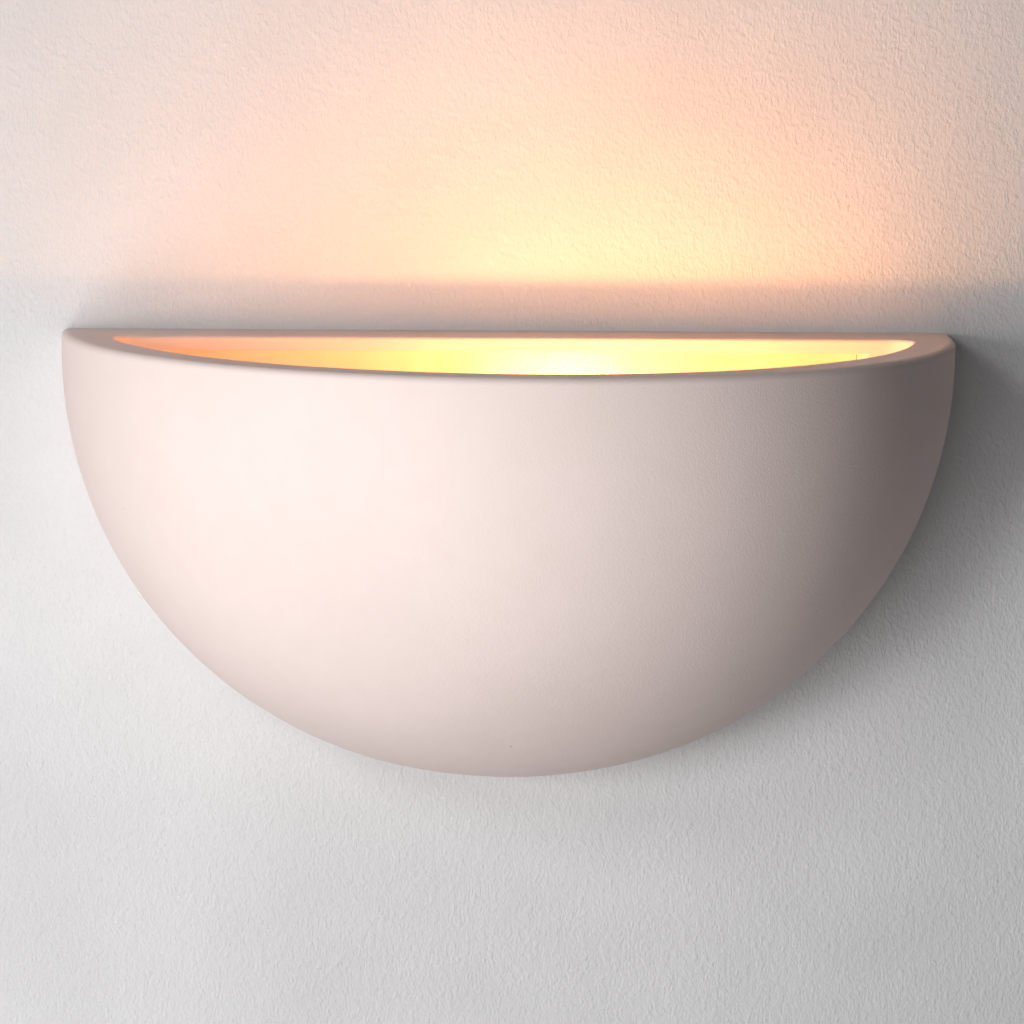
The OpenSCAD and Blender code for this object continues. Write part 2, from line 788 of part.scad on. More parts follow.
module holder_insert() {
    color("#F2EFE8") turned() difference() {
        box2([0, insert_start], [insert_r, insert_end]);
        box2([-cut, insert_seat], [insert_bore_r, insert_end + cut]);
    }
}

module holder_shell() {
    color(brass) turned() {
        box2([shell_inner_r, insert_seat], [shell_inner_r + shell_t, insert_seat + shell_len]);
        box2([shell_collar_r, insert_seat], [shell_inner_r + shell_t, insert_seat + shell_t]);
    }
}

// The sprung tongue that the lamp's tip presses on
module holder_contact() {
    foot = 2.6;
    tip = tip_start - contact_gap;
    rise = tip - insert_seat;
    color(brass) translate([insert_seat, lamp_y + contact_w / 2, lamp_z]) rotate([90, 0, 0])
        linear_extrude(contact_w) polygon([
            [0, -foot], [0, 0], [rise - contact_t, foot], [rise, foot],
            [rise, foot - contact_t], [contact_t, -contact_t], [contact_t, -foot]
        ]);
}

// Places its children at both holder terminals, with +Z along the lamp's axis
module at_holder_terminals() {
    for (side = [-1, 1]) translate([terminal_front, lamp_y, side * terminal_z])
        rotate([0, 90, 0]) children();
}

module holder_terminals() {
    color(brass) at_holder_terminals() difference() {
        translate([-terminal_w / 2, -terminal_h / 2, 0]) cube([terminal_w, terminal_h, terminal_len]);
        translate([0, 0, -cut]) cylinder(h = terminal_len, r = terminal_hole_r, $fn = round_fn);
        translate([0, -terminal_hole_r, terminal_len / 2]) rotate([90, 0, 0])
            cylinder(h = terminal_h, r = terminal_screw_r + fit, $fn = round_fn);
    }
}

module holder_terminal_screws() {
    reach = terminal_hole_r + 0.2;
    color(zinc) at_holder_terminals() translate([0, 0, terminal_len / 2]) rotate([90, 0, 0]) {
        translate([0, 0, reach])
            cylinder(h = terminal_h / 2 + 0.2 - reach, r = terminal_screw_r, $fn = round_fn);
        translate([0, 0, terminal_h / 2 + fit])
            cylinder(h = terminal_screw_head_t, r = terminal_screw_head_r, $fn = round_fn);
    }
}

// ---------------------------------------------------------------- wires

module live_wire() {
    color("#7A4A2B") swept_wire(lamp_wire_route(1, pole_z[0]));
}

module neutral_wire() {
    color("#3D6FB4") swept_wire(lamp_wire_route(-1, pole_z[1]));
}

module earth_wire() {
    color("#6FA23C") swept_wire(earth_route);
}

// ---------------------------------------------------------------- lamp

module lamp_tip() {
    color("#A8ABAD") turned() intersection() {
        translate([0, tip_start + tip_r]) circle(tip_r, $fn = round_fn);
        box2([0, tip_start], [tip_r, tip_start + tip_t]);
    }
}

module lamp_insulator() {
    back = tip_start + tip_t + fit;
    color("#1E1B1C") turned() polygon([
        [0, back], [tip_r + 0.2, back], [insulator_r - cap_sheet, back + insulator_t - 1],
        [insulator_r - cap_sheet, back + insulator_t], [0, back + insulator_t]
    ]);
}

// Outer edge of the screw cap: one crest and one groove for each turn
function thread_edge() = [
    for (i = [0 : thread_turns - 1])
        let (start = cap_start + i * thread_pitch)
        each [
            [groove_r, start + thread_pitch * (0.5 - crest)],
            [thread_r, start + thread_pitch * 0.5],
            [groove_r, start + thread_pitch * (0.5 + crest)]
        ]
];

module lamp_cap() {
    edge = thread_edge();
    color("#C4B48E") turned() {
        polygon(concat(
            [[cap_bore_r, cap_start + cap_sheet], [cap_bore_r, skirt_start],
                [skirt_r - cap_sheet, cap_end_x], [skirt_r, cap_end_x], [groove_r, skirt_start]],
            [for (i = [len(edge) - 1 : -1 : 0]) edge[i]],
            [[groove_r - cap_sheet / 2, cap_start + cap_sheet]]
        ));
    }
}

// Half section of the globe and neck, thinner all round by the inset
module globe_section(inset) {
    translate([0, globe_x]) circle(globe_r - inset);
    difference() {
        polygon([
            [0, neck_start], [neck_r - inset, neck_start], [neck_r - inset, neck_x],
            [(neck_r + shoulder_r) * touch, touch_x], [0, globe_x]
        ]);
        translate([neck_r + shoulder_r, neck_x]) circle(shoulder_r + inset);
    }
}

module lamp_glass() {
    color([0.95, 0.95, 0.93, 0.35]) turned() intersection() {
        difference() {
            globe_section(0);
            globe_section(glass_t);
            box2([0, neck_start - cut], [neck_r - glass_t, neck_start + cut]);
        }
        box2([0, neck_start], [globe_r + cut, globe_x + globe_r + cut]);
    }
}

// The glass mount: a flare sealed in the neck, a pressed seal, a rod and its button
module lamp_stem() {
    color([0.85, 0.9, 0.9, 0.5]) {
        turned() polygon([
            [0, neck_start], [stem_flare_r, neck_start], [stem_flare_r - 1.4, neck_start + 2.5],
            [stem_neck_r, neck_start + 7], [stem_neck_r, press_end - 4], [press_r, press_end - 3],
            [press_r, press_end], [rod_r, press_end], [rod_r, button_x], [0, button_x]
        ]);
        on_lamp_axis(button_x) sphere(button_r, $fn = round_fn);
    }
}

module lamp_leads() {
    color("#9A9C9E") for (side = [-1, 1]) wire_rod(
        [press_end + lead_r, lamp_y + side * lead_root, lamp_z],
        [filament_end_x - filament_r, lamp_y + side * filament_end_y, lamp_z], lead_r);
}

module lamp_support() {
    color("#8C8E90") wire_rod(
        [button_x + button_r + touch_gap, lamp_y, lamp_z],
        [filament_x + filament_arc_r - filament_r - touch_gap, lamp_y, lamp_z], support_r);
}

module lamp_filament() {
    color("#FFC46B") translate([filament_x, lamp_y, lamp_z])
        rotate([0, 0, -filament_half_angle]) rotate_extrude(angle = 2 * filament_half_angle)
            translate([filament_arc_r, 0]) circle(filament_r, $fn = round_fn);
}

// ---------------------------------------------------------------- all pieces

shade();
wall_plate();
cable_grommet();
terminal_block();
terminal_tubes();
terminal_screws();
block_screws();
earth_stud();
earth_tag();
earth_washer();
earth_nut();
lamp_bracket();
bracket_rivets();
holder_nipple();
nipple_washer();
nipple_nut();
holder_cap();
holder_barrel();
holder_insert();
holder_shell();
holder_contact();
holder_terminals();
holder_terminal_screws();
live_wire();
neutral_wire();
earth_wire();
lamp_tip();
lamp_insulator();
lamp_cap();
lamp_glass();
lamp_stem();
lamp_leads();
lamp_support();
lamp_filament();
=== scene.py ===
"""The finished look of a half-bowl ceramic wall light, built around its fixed frame.

Metres. X runs along the wall, -Y into the room, +Z up, and the wall is the plane y = 0.
"""

import math
from functools import cache

import bmesh
import bpy
from mathutils import Matrix, Vector, noise


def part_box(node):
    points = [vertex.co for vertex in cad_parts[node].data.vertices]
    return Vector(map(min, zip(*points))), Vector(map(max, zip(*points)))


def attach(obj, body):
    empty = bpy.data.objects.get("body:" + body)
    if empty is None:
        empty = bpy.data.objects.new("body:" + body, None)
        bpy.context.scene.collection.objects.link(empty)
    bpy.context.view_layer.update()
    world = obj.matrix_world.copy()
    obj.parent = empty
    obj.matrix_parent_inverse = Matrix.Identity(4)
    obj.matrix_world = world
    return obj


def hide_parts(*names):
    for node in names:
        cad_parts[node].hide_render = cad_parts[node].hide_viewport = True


bl_info = {
    "name": "Half-bowl wall light",
    "version": (1, 0, 0),
    "blender": (4, 5, 0),
    "location": "3D View > Sidebar > Wall light",
    "description": "Builds the finished look of a ceramic wall light around its frame",
    "category": "Object",
}

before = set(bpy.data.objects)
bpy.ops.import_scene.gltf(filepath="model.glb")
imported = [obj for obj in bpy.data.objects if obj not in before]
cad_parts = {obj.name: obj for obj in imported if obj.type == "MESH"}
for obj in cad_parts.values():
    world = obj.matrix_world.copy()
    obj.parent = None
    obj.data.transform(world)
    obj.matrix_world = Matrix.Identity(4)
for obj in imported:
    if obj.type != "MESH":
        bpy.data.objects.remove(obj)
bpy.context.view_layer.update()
SHADE_LOW, SHADE_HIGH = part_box("shade")
GLASS_LOW, GLASS_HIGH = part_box("lamp_glass")
MM = 0.001
WELD = 2e-6  # points closer than this are one point
SLIVER = 1e-6  # the shortest edge that is kept
FLOOR = -0.9  # height of the floor
RIM = SHADE_HIGH.z
LAMP_AXIS = Vector((0, (GLASS_LOW.y + GLASS_HIGH.y) / 2, (GLASS_LOW.z + GLASS_HIGH.z) / 2))
ALONG_LAMP = Matrix.Translation(LAMP_AXIS) @ Matrix.Rotation(math.pi / 2, 4, "Y")
OUT_OF_WALL = Matrix.Rotation(math.pi / 2, 4, "X")


def linear(hex_colour):
    """The linear colour of an sRGB hex value."""
    parts = [int(hex_colour[i:i + 2], 16) / 255 for i in (1, 3, 5)]
    return tuple(p / 12.92 if p <= 0.04045 else ((p + 0.055) / 1.055) ** 2.4 for p in parts)


def opaque(hex_colour):
    """The same with an alpha of one, as colour sockets want it."""
    return (*linear(hex_colour), 1.0)


# ---------------------------------------------------------------- settings

def length(name, description, default):
    """A length that a user can set."""
    return bpy.props.FloatProperty(
        name=name, description=description, default=default, min=0.0, precision=4, unit="LENGTH")


def colour(name, description, hex_colour):
    """A colour that a user can set."""
    return bpy.props.FloatVectorProperty(
        name=name, description=description, default=linear(hex_colour), min=0.0, max=1.0,
        subtype="COLOR")


class ShadeSettings(bpy.types.PropertyGroup):
    wall: length("Wall", "Thickness of the ceramic wall", 0.014)
    side_flat: length("Side flat", "Straight stretch of the side below the rim", 0.006)
    outer_round: length("Outer rounding", "Rounding of the rim's outer edge", 0.0025)
    inner_round: length("Inner rounding", "Rounding of the rim's inner edge", 0.00125)
    bridge_depth: length("Bridge depth", "How far the bridge reaches into the room", 0.022)
    bridge_height: length("Bridge height", "Height of the bridge along the wall", 0.005)
    fillet: length("Fillet", "Rounding where the bridge meets the bowl", 0.0075)
    lug_height: length("Lug height", "Height of the two hanging lugs", 0.014)
    lug_face: length("Lug face", "Distance of a lug's inner face from the middle", 0.1174)
    lug_wall: length("Lug wall", "Ceramic between a lug's inner face and its slot", 0.0025)
    slot_width: length("Slot width", "Width of a hanging slot", 0.0092)
    slot_front: length("Slot front", "Distance of a slot's front side from the wall", 0.0141)
    slot_depth: length("Slot depth", "Depth of a slot along Y", 0.0027)
    slot_height: length("Slot height", "Height of a slot inside its lug", 0.006)
    waviness: length("Waviness", "How far the cast surface wanders", 0.00015)
    body: colour("Body", "Colour of the bisque", "#F5E3DE")
    shadow: colour("Pores", "Colour of the darker bisque in its pores", "#E5CFC7")


class MountingSettings(bpy.types.PropertyGroup):
    edge: length("Edge", "Rounding of pressed steel edges", 0.0004)
    moulded_edge: length("Moulded edge", "Rounding of moulded edges", 0.0003)
    thread_pitch: length("Nipple pitch", "Pitch of the nipple's thread", 0.001)
    stud_pitch: length("Stud pitch", "Pitch of the earth stud's thread", 0.0007)
    enamel: colour("Powder coat", "Colour of the coated steel", "#F3EFE8")
    moulding: colour("Moulding", "Colour of the moulded parts", "#E9E5DC")


class WiringSettings(bpy.types.PropertyGroup):
    radius: length("Radius", "Outer radius of a wire", 0.0009)
    core: length("Core", "Radius of the bare conductor", 0.0006)
    live: colour("Live", "Colour of the live wire", "#6B3F25")
    neutral: colour("Neutral", "Colour of the neutral wire", "#2F62AC")
    earth: colour("Earth", "First colour of the earth wire", "#4F9A34")
    earth_stripe: colour("Earth stripe", "Second colour of the earth wire", "#E7CF2E")


class LampSettings(bpy.types.PropertyGroup):
    thread_pitch: length("Thread pitch", "Pitch of the lamp's screw thread", 0.00282)
    coil_turns: bpy.props.IntProperty(
        name="Coil turns", description="Turns of the filament", default=46, min=4, max=200)
    glow: colour("Glow", "Colour of the filament and of the light it gives", "#FFC98A")


class StageSettings(bpy.types.PropertyGroup):
    wall: colour("Wall", "Colour of the wall behind the light", "#E5E4E5")
    floor: colour("Floor", "Colour of the floor", "#E2E0DD")
    lamp_watts: bpy.props.FloatProperty(
        name="Lamp", description="Power of the lamp's light", default=0.545, min=0.0, unit="POWER")
    lamp_tone: bpy.props.FloatVectorProperty(
        name="Lamp colour", description="Colour of the lamp's light", default=(1.0, 0.44, 0.12),
        min=0.0, max=1.0, subtype="COLOR")
    window_watts: bpy.props.FloatProperty(
        name="Window", description="Power of the window's light", default=9.1, min=0.0, unit="POWER")


# ---------------------------------------------------------------- nodes and materials

MATH = "ShaderNodeMath"
VECTOR_MATH = "ShaderNodeVectorMath"


def add(tree, kind, settings=None, links=()):
    """Adds a node with its own attributes, or just its operation, and with what its inputs get.

    Links go by the inputs' names or in their order, and each is a value, an output, or a node
    whose first output is meant.
    """
    made = tree.nodes.new(kind)
    own = {"operation": settings} if isinstance(settings, str) else settings or {}
    for key, value in own.items():
        setattr(made, key, value)
    for key, value in links.items() if isinstance(links, dict) else enumerate(links):
        if isinstance(value, bpy.types.Node):
            value = value.outputs[0]
        if isinstance(value, bpy.types.NodeSocket):
            tree.links.new(value, made.inputs[key])
        else:
            made.inputs[key].default_value = value
    return made


def per_metre(size_mm):
    """A texture scale at which the pattern's features are about this many millimetres apart."""
    return 1000.0 / size_mm


def surface(name, sockets):
    """A new material with one shader, whose constant sockets are set on it directly."""
    material = bpy.data.materials.new(name)
    material.use_nodes = True
    tree = material.node_tree
    tree.nodes.clear()
    shader = add(tree, "ShaderNodeBsdfPrincipled", None, sockets)
    add(tree, "ShaderNodeOutputMaterial", None, {"Surface": shader.outputs["BSDF"]})
    place = add(tree, "ShaderNodeTexCoord").outputs["Object"]
    return material, tree, shader, place


def cloudy(tree, place, size_mm, detail=3.0, low=0.35, high=0.65):
    """Soft noise between 0 and 1 with features of that size."""
    field = add(tree, "ShaderNodeTexNoise", None,
                {"Vector": place, "Scale": per_metre(size_mm), "Detail": detail})
    return add(tree, "ShaderNodeMapRange", None, {
        "Value": field.outputs["Fac"], "From Min": low, "From Max": high}).outputs["Result"]


def tinted(tree, target, ground, *layers):
    """Colours an input: a ground colour, and others laid over it, each by its own share."""
    for share, laid in layers:
        ground = add(tree, "ShaderNodeMix", {"data_type": "RGBA"},
                     {0: share, 6: ground, 7: laid}).outputs[2]
    tree.links.new(ground, target)


def relief(tree, shader, height, depth_mm, below=None):
    """Raises the shader's surface by a height field, over another relief if one is given."""
    links = {"Height": height, "Distance": depth_mm * MM, "Strength": 1.0}
    if below is not None:
        links["Normal"] = below
    bump = add(tree, "ShaderNodeBump", None, links).outputs["Normal"]
    tree.links.new(bump, shader.inputs["Normal"])
    return bump


def worn(tree, shader, share, low, high):
    """Lets the roughness wander from low to high with a share."""
    value = add(tree, "ShaderNodeMapRange", None,
                {"Value": share, "To Min": low, "To Max": high}).outputs["Result"]
    tree.links.new(value, shader.inputs["Roughness"])


def even_finish(name, sockets, tones, patch, wear, grain, depth_mm):
    """A finish whose tone, roughness and relief each wander with a soft noise of their own.

    Patch and grain are what cloudy takes after its place. Wear is its noise's size in
    millimetres and the two roughnesses.
    """
    material, tree, shader, place = surface(name, sockets)
    tinted(tree, shader.inputs["Base Color"], tones[0], (cloudy(tree, place, *patch), tones[1]))
    worn(tree, shader, cloudy(tree, place, wear[0]), *wear[1:])
    relief(tree, shader, cloudy(tree, place, *grain), depth_mm)
    return material


def slip_cast_bisque(settings):
    """Unglazed slip-cast earthenware: chalky, slightly pink, with a fine grit and rare pinholes darkened
    with painted shade.
    """
    material, tree, shader, place = surface("slip_cast_bisque", {"IOR": 1.5, "Roughness": 0.85})
    firing = cloudy(tree, place, 60.0, 2.0)
    pores = add(tree, MATH, "MULTIPLY", (cloudy(tree, place, 9.0, 4.0, 0.3, 0.8), 0.15))
    # pinholes left by air in the slip, about 0.4 mm across and far apart, each sunk by a bump and coloured
    # darker as painted shade inside it
    cells = add(tree, "ShaderNodeTexVoronoi", None, {"Vector": place, "Scale": per_metre(14.0)})
    near = add(tree, "ShaderNodeMapRange", None, {
        "Value": cells.outputs["Distance"], "From Min": 0.012, "From Max": 0.03,
        "To Min": 1.0, "To Max": 0.0})
    chance = add(tree, "ShaderNodeSeparateColor", None, {"Color": cells.outputs["Color"]})
    rare = add(tree, MATH, "GREATER_THAN", (chance.outputs["Red"], 0.7))
    pinhole_with_shade = add(tree, MATH, "MULTIPLY", (near, rare))
    # the last layer is painted shade: the darker colour laid into each pinhole
    tinted(tree, shader.inputs["Base Color"], (*settings.body, 1.0), (firing, opaque("#F2E0DA")),
           (pores, (*settings.shadow, 1.0)), (pinhole_with_shade, opaque("#A08C82")))
    below = relief(tree, shader, cloudy(tree, place, 0.7, 3.0, 0.2, 0.8), 0.05)
    relief(tree, shader, add(tree, MATH, "SUBTRACT", (1.0, pinhole_with_shade)), 0.25, below)
    return material


def powder_coated_steel(settings):
    """Polyester powder coat on pressed steel: off-white, satin, with a fine orange peel."""
    return even_finish("powder_coated_steel", {"IOR": 1.5, "Coat Weight": 0.15},
                       ((*settings.enamel, 1.0), opaque("#EBE6DD")),
                       (25.0,), (8.0, 0.38, 0.5), (1.1, 1.0, 0.3, 0.7), 0.03)


def metallic_powder_coat():
    """Powder coat with fine bright flakes in a cream ground: a broad soft shine over a little matt."""
    return even_finish("metallic_powder_coat", {"Metallic": 0.82},
                       (opaque("#FAF0DC"), opaque("#F3E6CE")),
                       (22.0,), (9.0, 0.36, 0.42), (1.1, 1.0, 0.3, 0.7), 0.02)


def moulded_polyester(settings):
    """Glass-filled polyester: warm white, finely pitted by the mould's spark-eroded face."""
    return even_finish("moulded_polyester", {"IOR": 1.55},
                       ((*settings.moulding, 1.0), opaque("#DDD8CD")),
                       (12.0,), (3.0, 0.42, 0.6), (0.35, 2.0), 0.02)


def moulded_rubber():
    """Black rubber grommet: dull, with a faint bloom on its surface."""
    return even_finish("moulded_rubber", {"IOR": 1.52}, (opaque("#1D1D1F"), opaque("#34343A")),
                       (4.0, 4.0), (1.5, 0.62, 0.85), (0.4, 2.0), 0.02)


def pressed_steatite():
    """Dry-pressed steatite: cream, smooth and waxy, with a sanded grain."""
    return even_finish("pressed_steatite", {"IOR": 1.6}, (opaque("#F0EBDF"), opaque("#E0D8C6")),
                       (5.0, 4.0), (1.5, 0.4, 0.6), (0.5, 3.0), 0.02)


def black_vitrite():
    """Black glass poured into the lamp cap: glossy, with a few ripples."""
    return even_finish("black_vitrite", {"IOR": 1.55}, (opaque("#141314"), opaque("#2A2326")),
                       (2.0,), (1.0, 0.08, 0.2), (1.8,), 0.04)


# Each metal's two tones, its two roughnesses, the size and the depth of its tool marks in
# millimetres, and how they are drawn out along the axes.
METALS = {
    # free-cutting brass from a lathe: golden, with fine rings around its axis
    "turned_brass": ("#D9B65F", "#B8923F", 0.2, 0.36, 0.25, 0.004, (4, 1, 1)),
    # bright zinc plating with a thin bluish passivation over drawn steel
    "zinc_plated_steel": ("#C9CED3", "#A8ADB4", 0.24, 0.4, 0.4, 0.004, (1, 1, 1)),
    # copper dipped in tin: soft grey-white and slightly uneven
    "tinned_copper": ("#D3D3D0", "#B4B2AC", 0.3, 0.45, 0.8, 0.008, (1, 1, 1)),
    # aluminium rivet wire, peened by the setting tool
    "drawn_aluminium": ("#D4D6D8", "#B7BABD", 0.32, 0.48, 0.6, 0.01, (1, 1, 1)),
    # thin brass pressed into a lamp cap and dulled by heat
    "plated_cap_brass": ("#CFC3A0", "#A99668", 0.25, 0.42, 0.5, 0.004, (3, 1, 1)),
    # a drop of solder, frozen with a grey skin
    "soldered_tip": ("#B5B8BA", "#8F9294", 0.3, 0.5, 0.9, 0.02, (1, 1, 1)),
    # nickel wire for the lamp's leads, a little straw-coloured in patches
    "drawn_nickel": ("#B9B4A6", "#8D887C", 0.22, 0.35, 0.3, 0.002, (1, 1, 1)),
    # fine copper wire with a thin tin skin that lets the copper's warmth through
    "drawn_copper": ("#D9B49A", "#C58F6B", 0.25, 0.4, 0.3, 0.003, (4, 1, 1)),
}


@cache
def metal(name):
    """A bare metal from the list above, made once: a little tarnish and fine tool marks."""
    light, dark, low, high, mark_mm, depth_mm, stretch = METALS[name]
    material, tree, shader, place = surface(name, {"Metallic": 1.0})
    drawn = add(tree, "ShaderNodeMapping", None, {"Vector": place, "Scale": stretch})
    tinted(tree, shader.inputs["Base Color"], opaque(light), (cloudy(tree, place, 3.0), opaque(dark)))
    marks = cloudy(tree, drawn, mark_mm, 2.0, 0.25, 0.75)
    worn(tree, shader, marks, low, high)
    relief(tree, shader, marks, depth_mm)
    return material


def extruded_pvc(name, first, second=None):
    """Extruded PVC insulation: a soft sheen, and two colours in long stripes where asked."""
    material, tree, shader, place = surface(name, {"IOR": 1.53})
    layers = []
    if second is not None:
        around = add(tree, "ShaderNodeAttribute", {"attribute_name": "around"}).outputs["Fac"]
        layers.append((add(tree, MATH, "GREATER_THAN", (around, 0.5)), (*second, 1.0)))
    dull = cloudy(tree, place, 6.0)
    layers.append((add(tree, MATH, "MULTIPLY", (dull, 0.15)), opaque("#8C8C8C")))
    tinted(tree, shader.inputs["Base Color"], (*first, 1.0), *layers)
    worn(tree, shader, dull, 0.35, 0.5)
    relief(tree, shader, cloudy(tree, place, 0.5), 0.01)
    return material


def clear_glass(name, edge_share, tint):
    """Thin blown glass: nearly clear face on and denser where the wall is seen edge on, which stands
    partly for the glass's longer path there and partly for a painted reflection.
    """
    material, tree, shader, place = surface(name, {"IOR": 1.5, "Base Color": opaque(tint)})
    # the glass turns more opaque towards its edges as seen: partly its thickness, partly painted
    # reflection
    edge = add(tree, "ShaderNodeLayerWeight", None, {"Blend": 0.35}).outputs["Facing"]
    edge_density_and_reflection = add(tree, "ShaderNodeMapRange", None, {
        "Value": edge, "From Min": 0.2, "From Max": 1.0, "To Min": 0.05, "To Max": edge_share})
    tree.links.new(edge_density_and_reflection.outputs["Result"], shader.inputs["Alpha"])
    worn(tree, shader, cloudy(tree, place, 10.0), 0.02, 0.06)
    relief(tree, shader, cloudy(tree, place, 14.0, 1.0), 0.05)
    return material


def glowing_tungsten(settings):
    """Tungsten wire at white heat, its glow wandering a little in tone."""
    material, tree, shader, place = surface("glowing_tungsten", {
        "Metallic": 1.0, "Roughness": 0.4, "Base Color": opaque("#6E6A66"), "Emission Strength": 30.0})
    tinted(tree, shader.inputs["Emission Color"], (*settings.glow, 1.0),
           (cloudy(tree, place, 1.5), opaque("#FFE2B0")))
    material.cycles.emission_sampling = "NONE"
    return material


# ---------------------------------------------------------------- making and joining meshes

def link(name, mesh):
    """A new object at the origin that shows a mesh."""
    made = bpy.data.objects.new(name, mesh)
    bpy.context.scene.collection.objects.link(made)
    return made


def evaluated(obj):
    """The object's shape after its modifiers, as a plain mesh."""
    graph = bpy.context.evaluated_depsgraph_get()
    graph.update()
    return bpy.data.meshes.new_from_object(obj.evaluated_get(graph))


def settle(obj):
    """Bakes an object's modifiers into its own mesh and removes them."""
    mesh = evaluated(obj)
    obj.modifiers.clear()
    obj.data = mesh
    return obj


def discard(obj):
    """Removes a helper's object."""
    bpy.data.objects.remove(obj)


def arc(centre_r, centre_z, radius, start, end, steps):
    """Points on an arc of a half section, as radius and height; angles in degrees."""
    turns = [math.radians(start + (end - start) * i / steps) for i in range(steps + 1)]
    return [(centre_r + radius * math.cos(a), centre_z + radius * math.sin(a)) for a in turns]


def tidied(mesh, outward=True):
    """Merges doubled points, drops slivers and turns the faces outwards."""
    work = bmesh.new()
    work.from_mesh(mesh)
    bmesh.ops.remove_doubles(work, verts=work.verts, dist=WELD)
    bmesh.ops.dissolve_degenerate(work, edges=work.edges, dist=SLIVER)
    if outward:
        bmesh.ops.recalc_face_normals(work, faces=work.faces)
    work.to_mesh(mesh)
    work.free()
    return mesh


def smooth_by_angle(mesh, degrees=32.0):
    """Smooth shading that stops at edges sharper than the angle."""
    mesh.shade_smooth()
    mesh.set_sharp_from_angle(angle=math.radians(degrees))


def new_tree(name, *sockets):
    """A geometry tree with these inputs, a material and a mesh output, and what it is given."""
    tree = bpy.data.node_groups.new(name, "GeometryNodeTree")
    for label, kind, default in sockets:
        made = tree.interface.new_socket(label, in_out="INPUT", socket_type="NodeSocket" + kind)
        if default is not None:
            made.default_value = default
    tree.interface.new_socket("Material", in_out="INPUT", socket_type="NodeSocketMaterial")
    tree.interface.new_socket("Mesh", in_out="OUTPUT", socket_type="NodeSocketGeometry")
    return tree, add(tree, "NodeGroupInput").outputs


def end_tree(tree, shape, material):
    """Makes the shape's instances real, gives it the material and ends the tree."""
    real = add(tree, "GeometryNodeRealizeInstances", None, {"Geometry": shape})
    done = add(tree, "GeometryNodeSetMaterial", None, {"Geometry": real, "Material": material})
    add(tree, "NodeGroupOutput", None, {"Mesh": done})
    return tree


def turned_tree():
    """Geometry nodes that turn a half section about Z, with a screw thread where it is marked."""
    tree, given = new_tree(
        "turned_tree", ("Section", "Geometry", None), ("Steps", "Int", 96), ("Start", "Float", 0.0),
        ("Sweep", "Float", math.tau), ("Thread Depth", "Float", 0.0),
        ("Thread Pitch", "Float", MM), ("Thread Roundness", "Float", 1.0))
    section, steps = given["Section"], given["Steps"]
    # a grid with a column for each point of the section and a row for each step of the turn
    count = add(tree, "GeometryNodeAttributeDomainSize", {"component": "MESH"},
                {"Geometry": section}).outputs["Point Count"]
    rows = add(tree, MATH, "ADD", (steps, 1.0))
    grid = add(tree, "GeometryNodeMeshGrid", None, {"Vertices X": count, "Vertices Y": rows})
    index = add(tree, "GeometryNodeInputIndex")
    column = add(tree, MATH, "DIVIDE", (add(tree, MATH, "ADD", (index, 0.5)), rows))
    point = add(tree, MATH, "FLOOR", (column,))
    step = add(tree, MATH, "SUBTRACT", (index, add(tree, MATH, "MULTIPLY", (point, rows))))
    share = add(tree, MATH, "DIVIDE", (step, steps))
    turn = add(tree, MATH, "MULTIPLY_ADD", (share, given["Sweep"], given["Start"]))
    place = add(tree, "GeometryNodeSampleIndex", {"data_type": "FLOAT_VECTOR", "domain": "POINT"}, {
        "Geometry": section, "Index": point, "Value": add(tree, "GeometryNodeInputPosition")})
    mark = add(tree, "GeometryNodeInputNamedAttribute", {"data_type": "FLOAT"}, {"Name": "thread"})
    threaded = add(tree, "GeometryNodeSampleIndex", {"data_type": "FLOAT", "domain": "POINT"}, {
        "Geometry": section, "Index": point, "Value": mark})
    # the thread's height, from 0 in its root to 1 on its crest, by how far along a turn it is
    height = add(tree, "ShaderNodeSeparateXYZ", None, (place,)).outputs["Z"]
    along = add(tree, MATH, "DIVIDE", (height, given["Thread Pitch"]))
    phase = add(tree, MATH, "SUBTRACT", (along, add(tree, MATH, "DIVIDE", (turn, math.tau))))
    ramp = add(tree, MATH, "MULTIPLY", (add(tree, MATH, "PINGPONG", (phase, 0.5)), 2.0))
    bend = add(tree, MATH, "COSINE", (add(tree, MATH, "MULTIPLY", (ramp, math.pi)),))
    soft = add(tree, MATH, "MULTIPLY_ADD", (bend, -0.5, 0.5))
    rounder = add(tree, MATH, "SUBTRACT", (soft, ramp))
    wave = add(tree, MATH, "MULTIPLY_ADD", (rounder, given["Thread Roundness"], ramp))
    below = add(tree, MATH, "MULTIPLY", (add(tree, MATH, "SUBTRACT", (wave, 1.0)), threaded))
    cut_in = add(tree, MATH, "MULTIPLY", (below, given["Thread Depth"]))
    moved = add(tree, VECTOR_MATH, "ADD", (place, add(tree, "ShaderNodeCombineXYZ", None, (cut_in,))))
    spun = add(tree, "ShaderNodeVectorRotate", {"rotation_type": "Z_AXIS"},
               {"Vector": moved, "Angle": turn})
    shaped = add(tree, "GeometryNodeSetPosition", None, {"Geometry": grid, "Position": spun})
    merged = add(tree, "GeometryNodeMergeByDistance", None,
                 {"Geometry": shaped, "Distance": SLIVER})
    return end_tree(tree, merged, given["Material"])


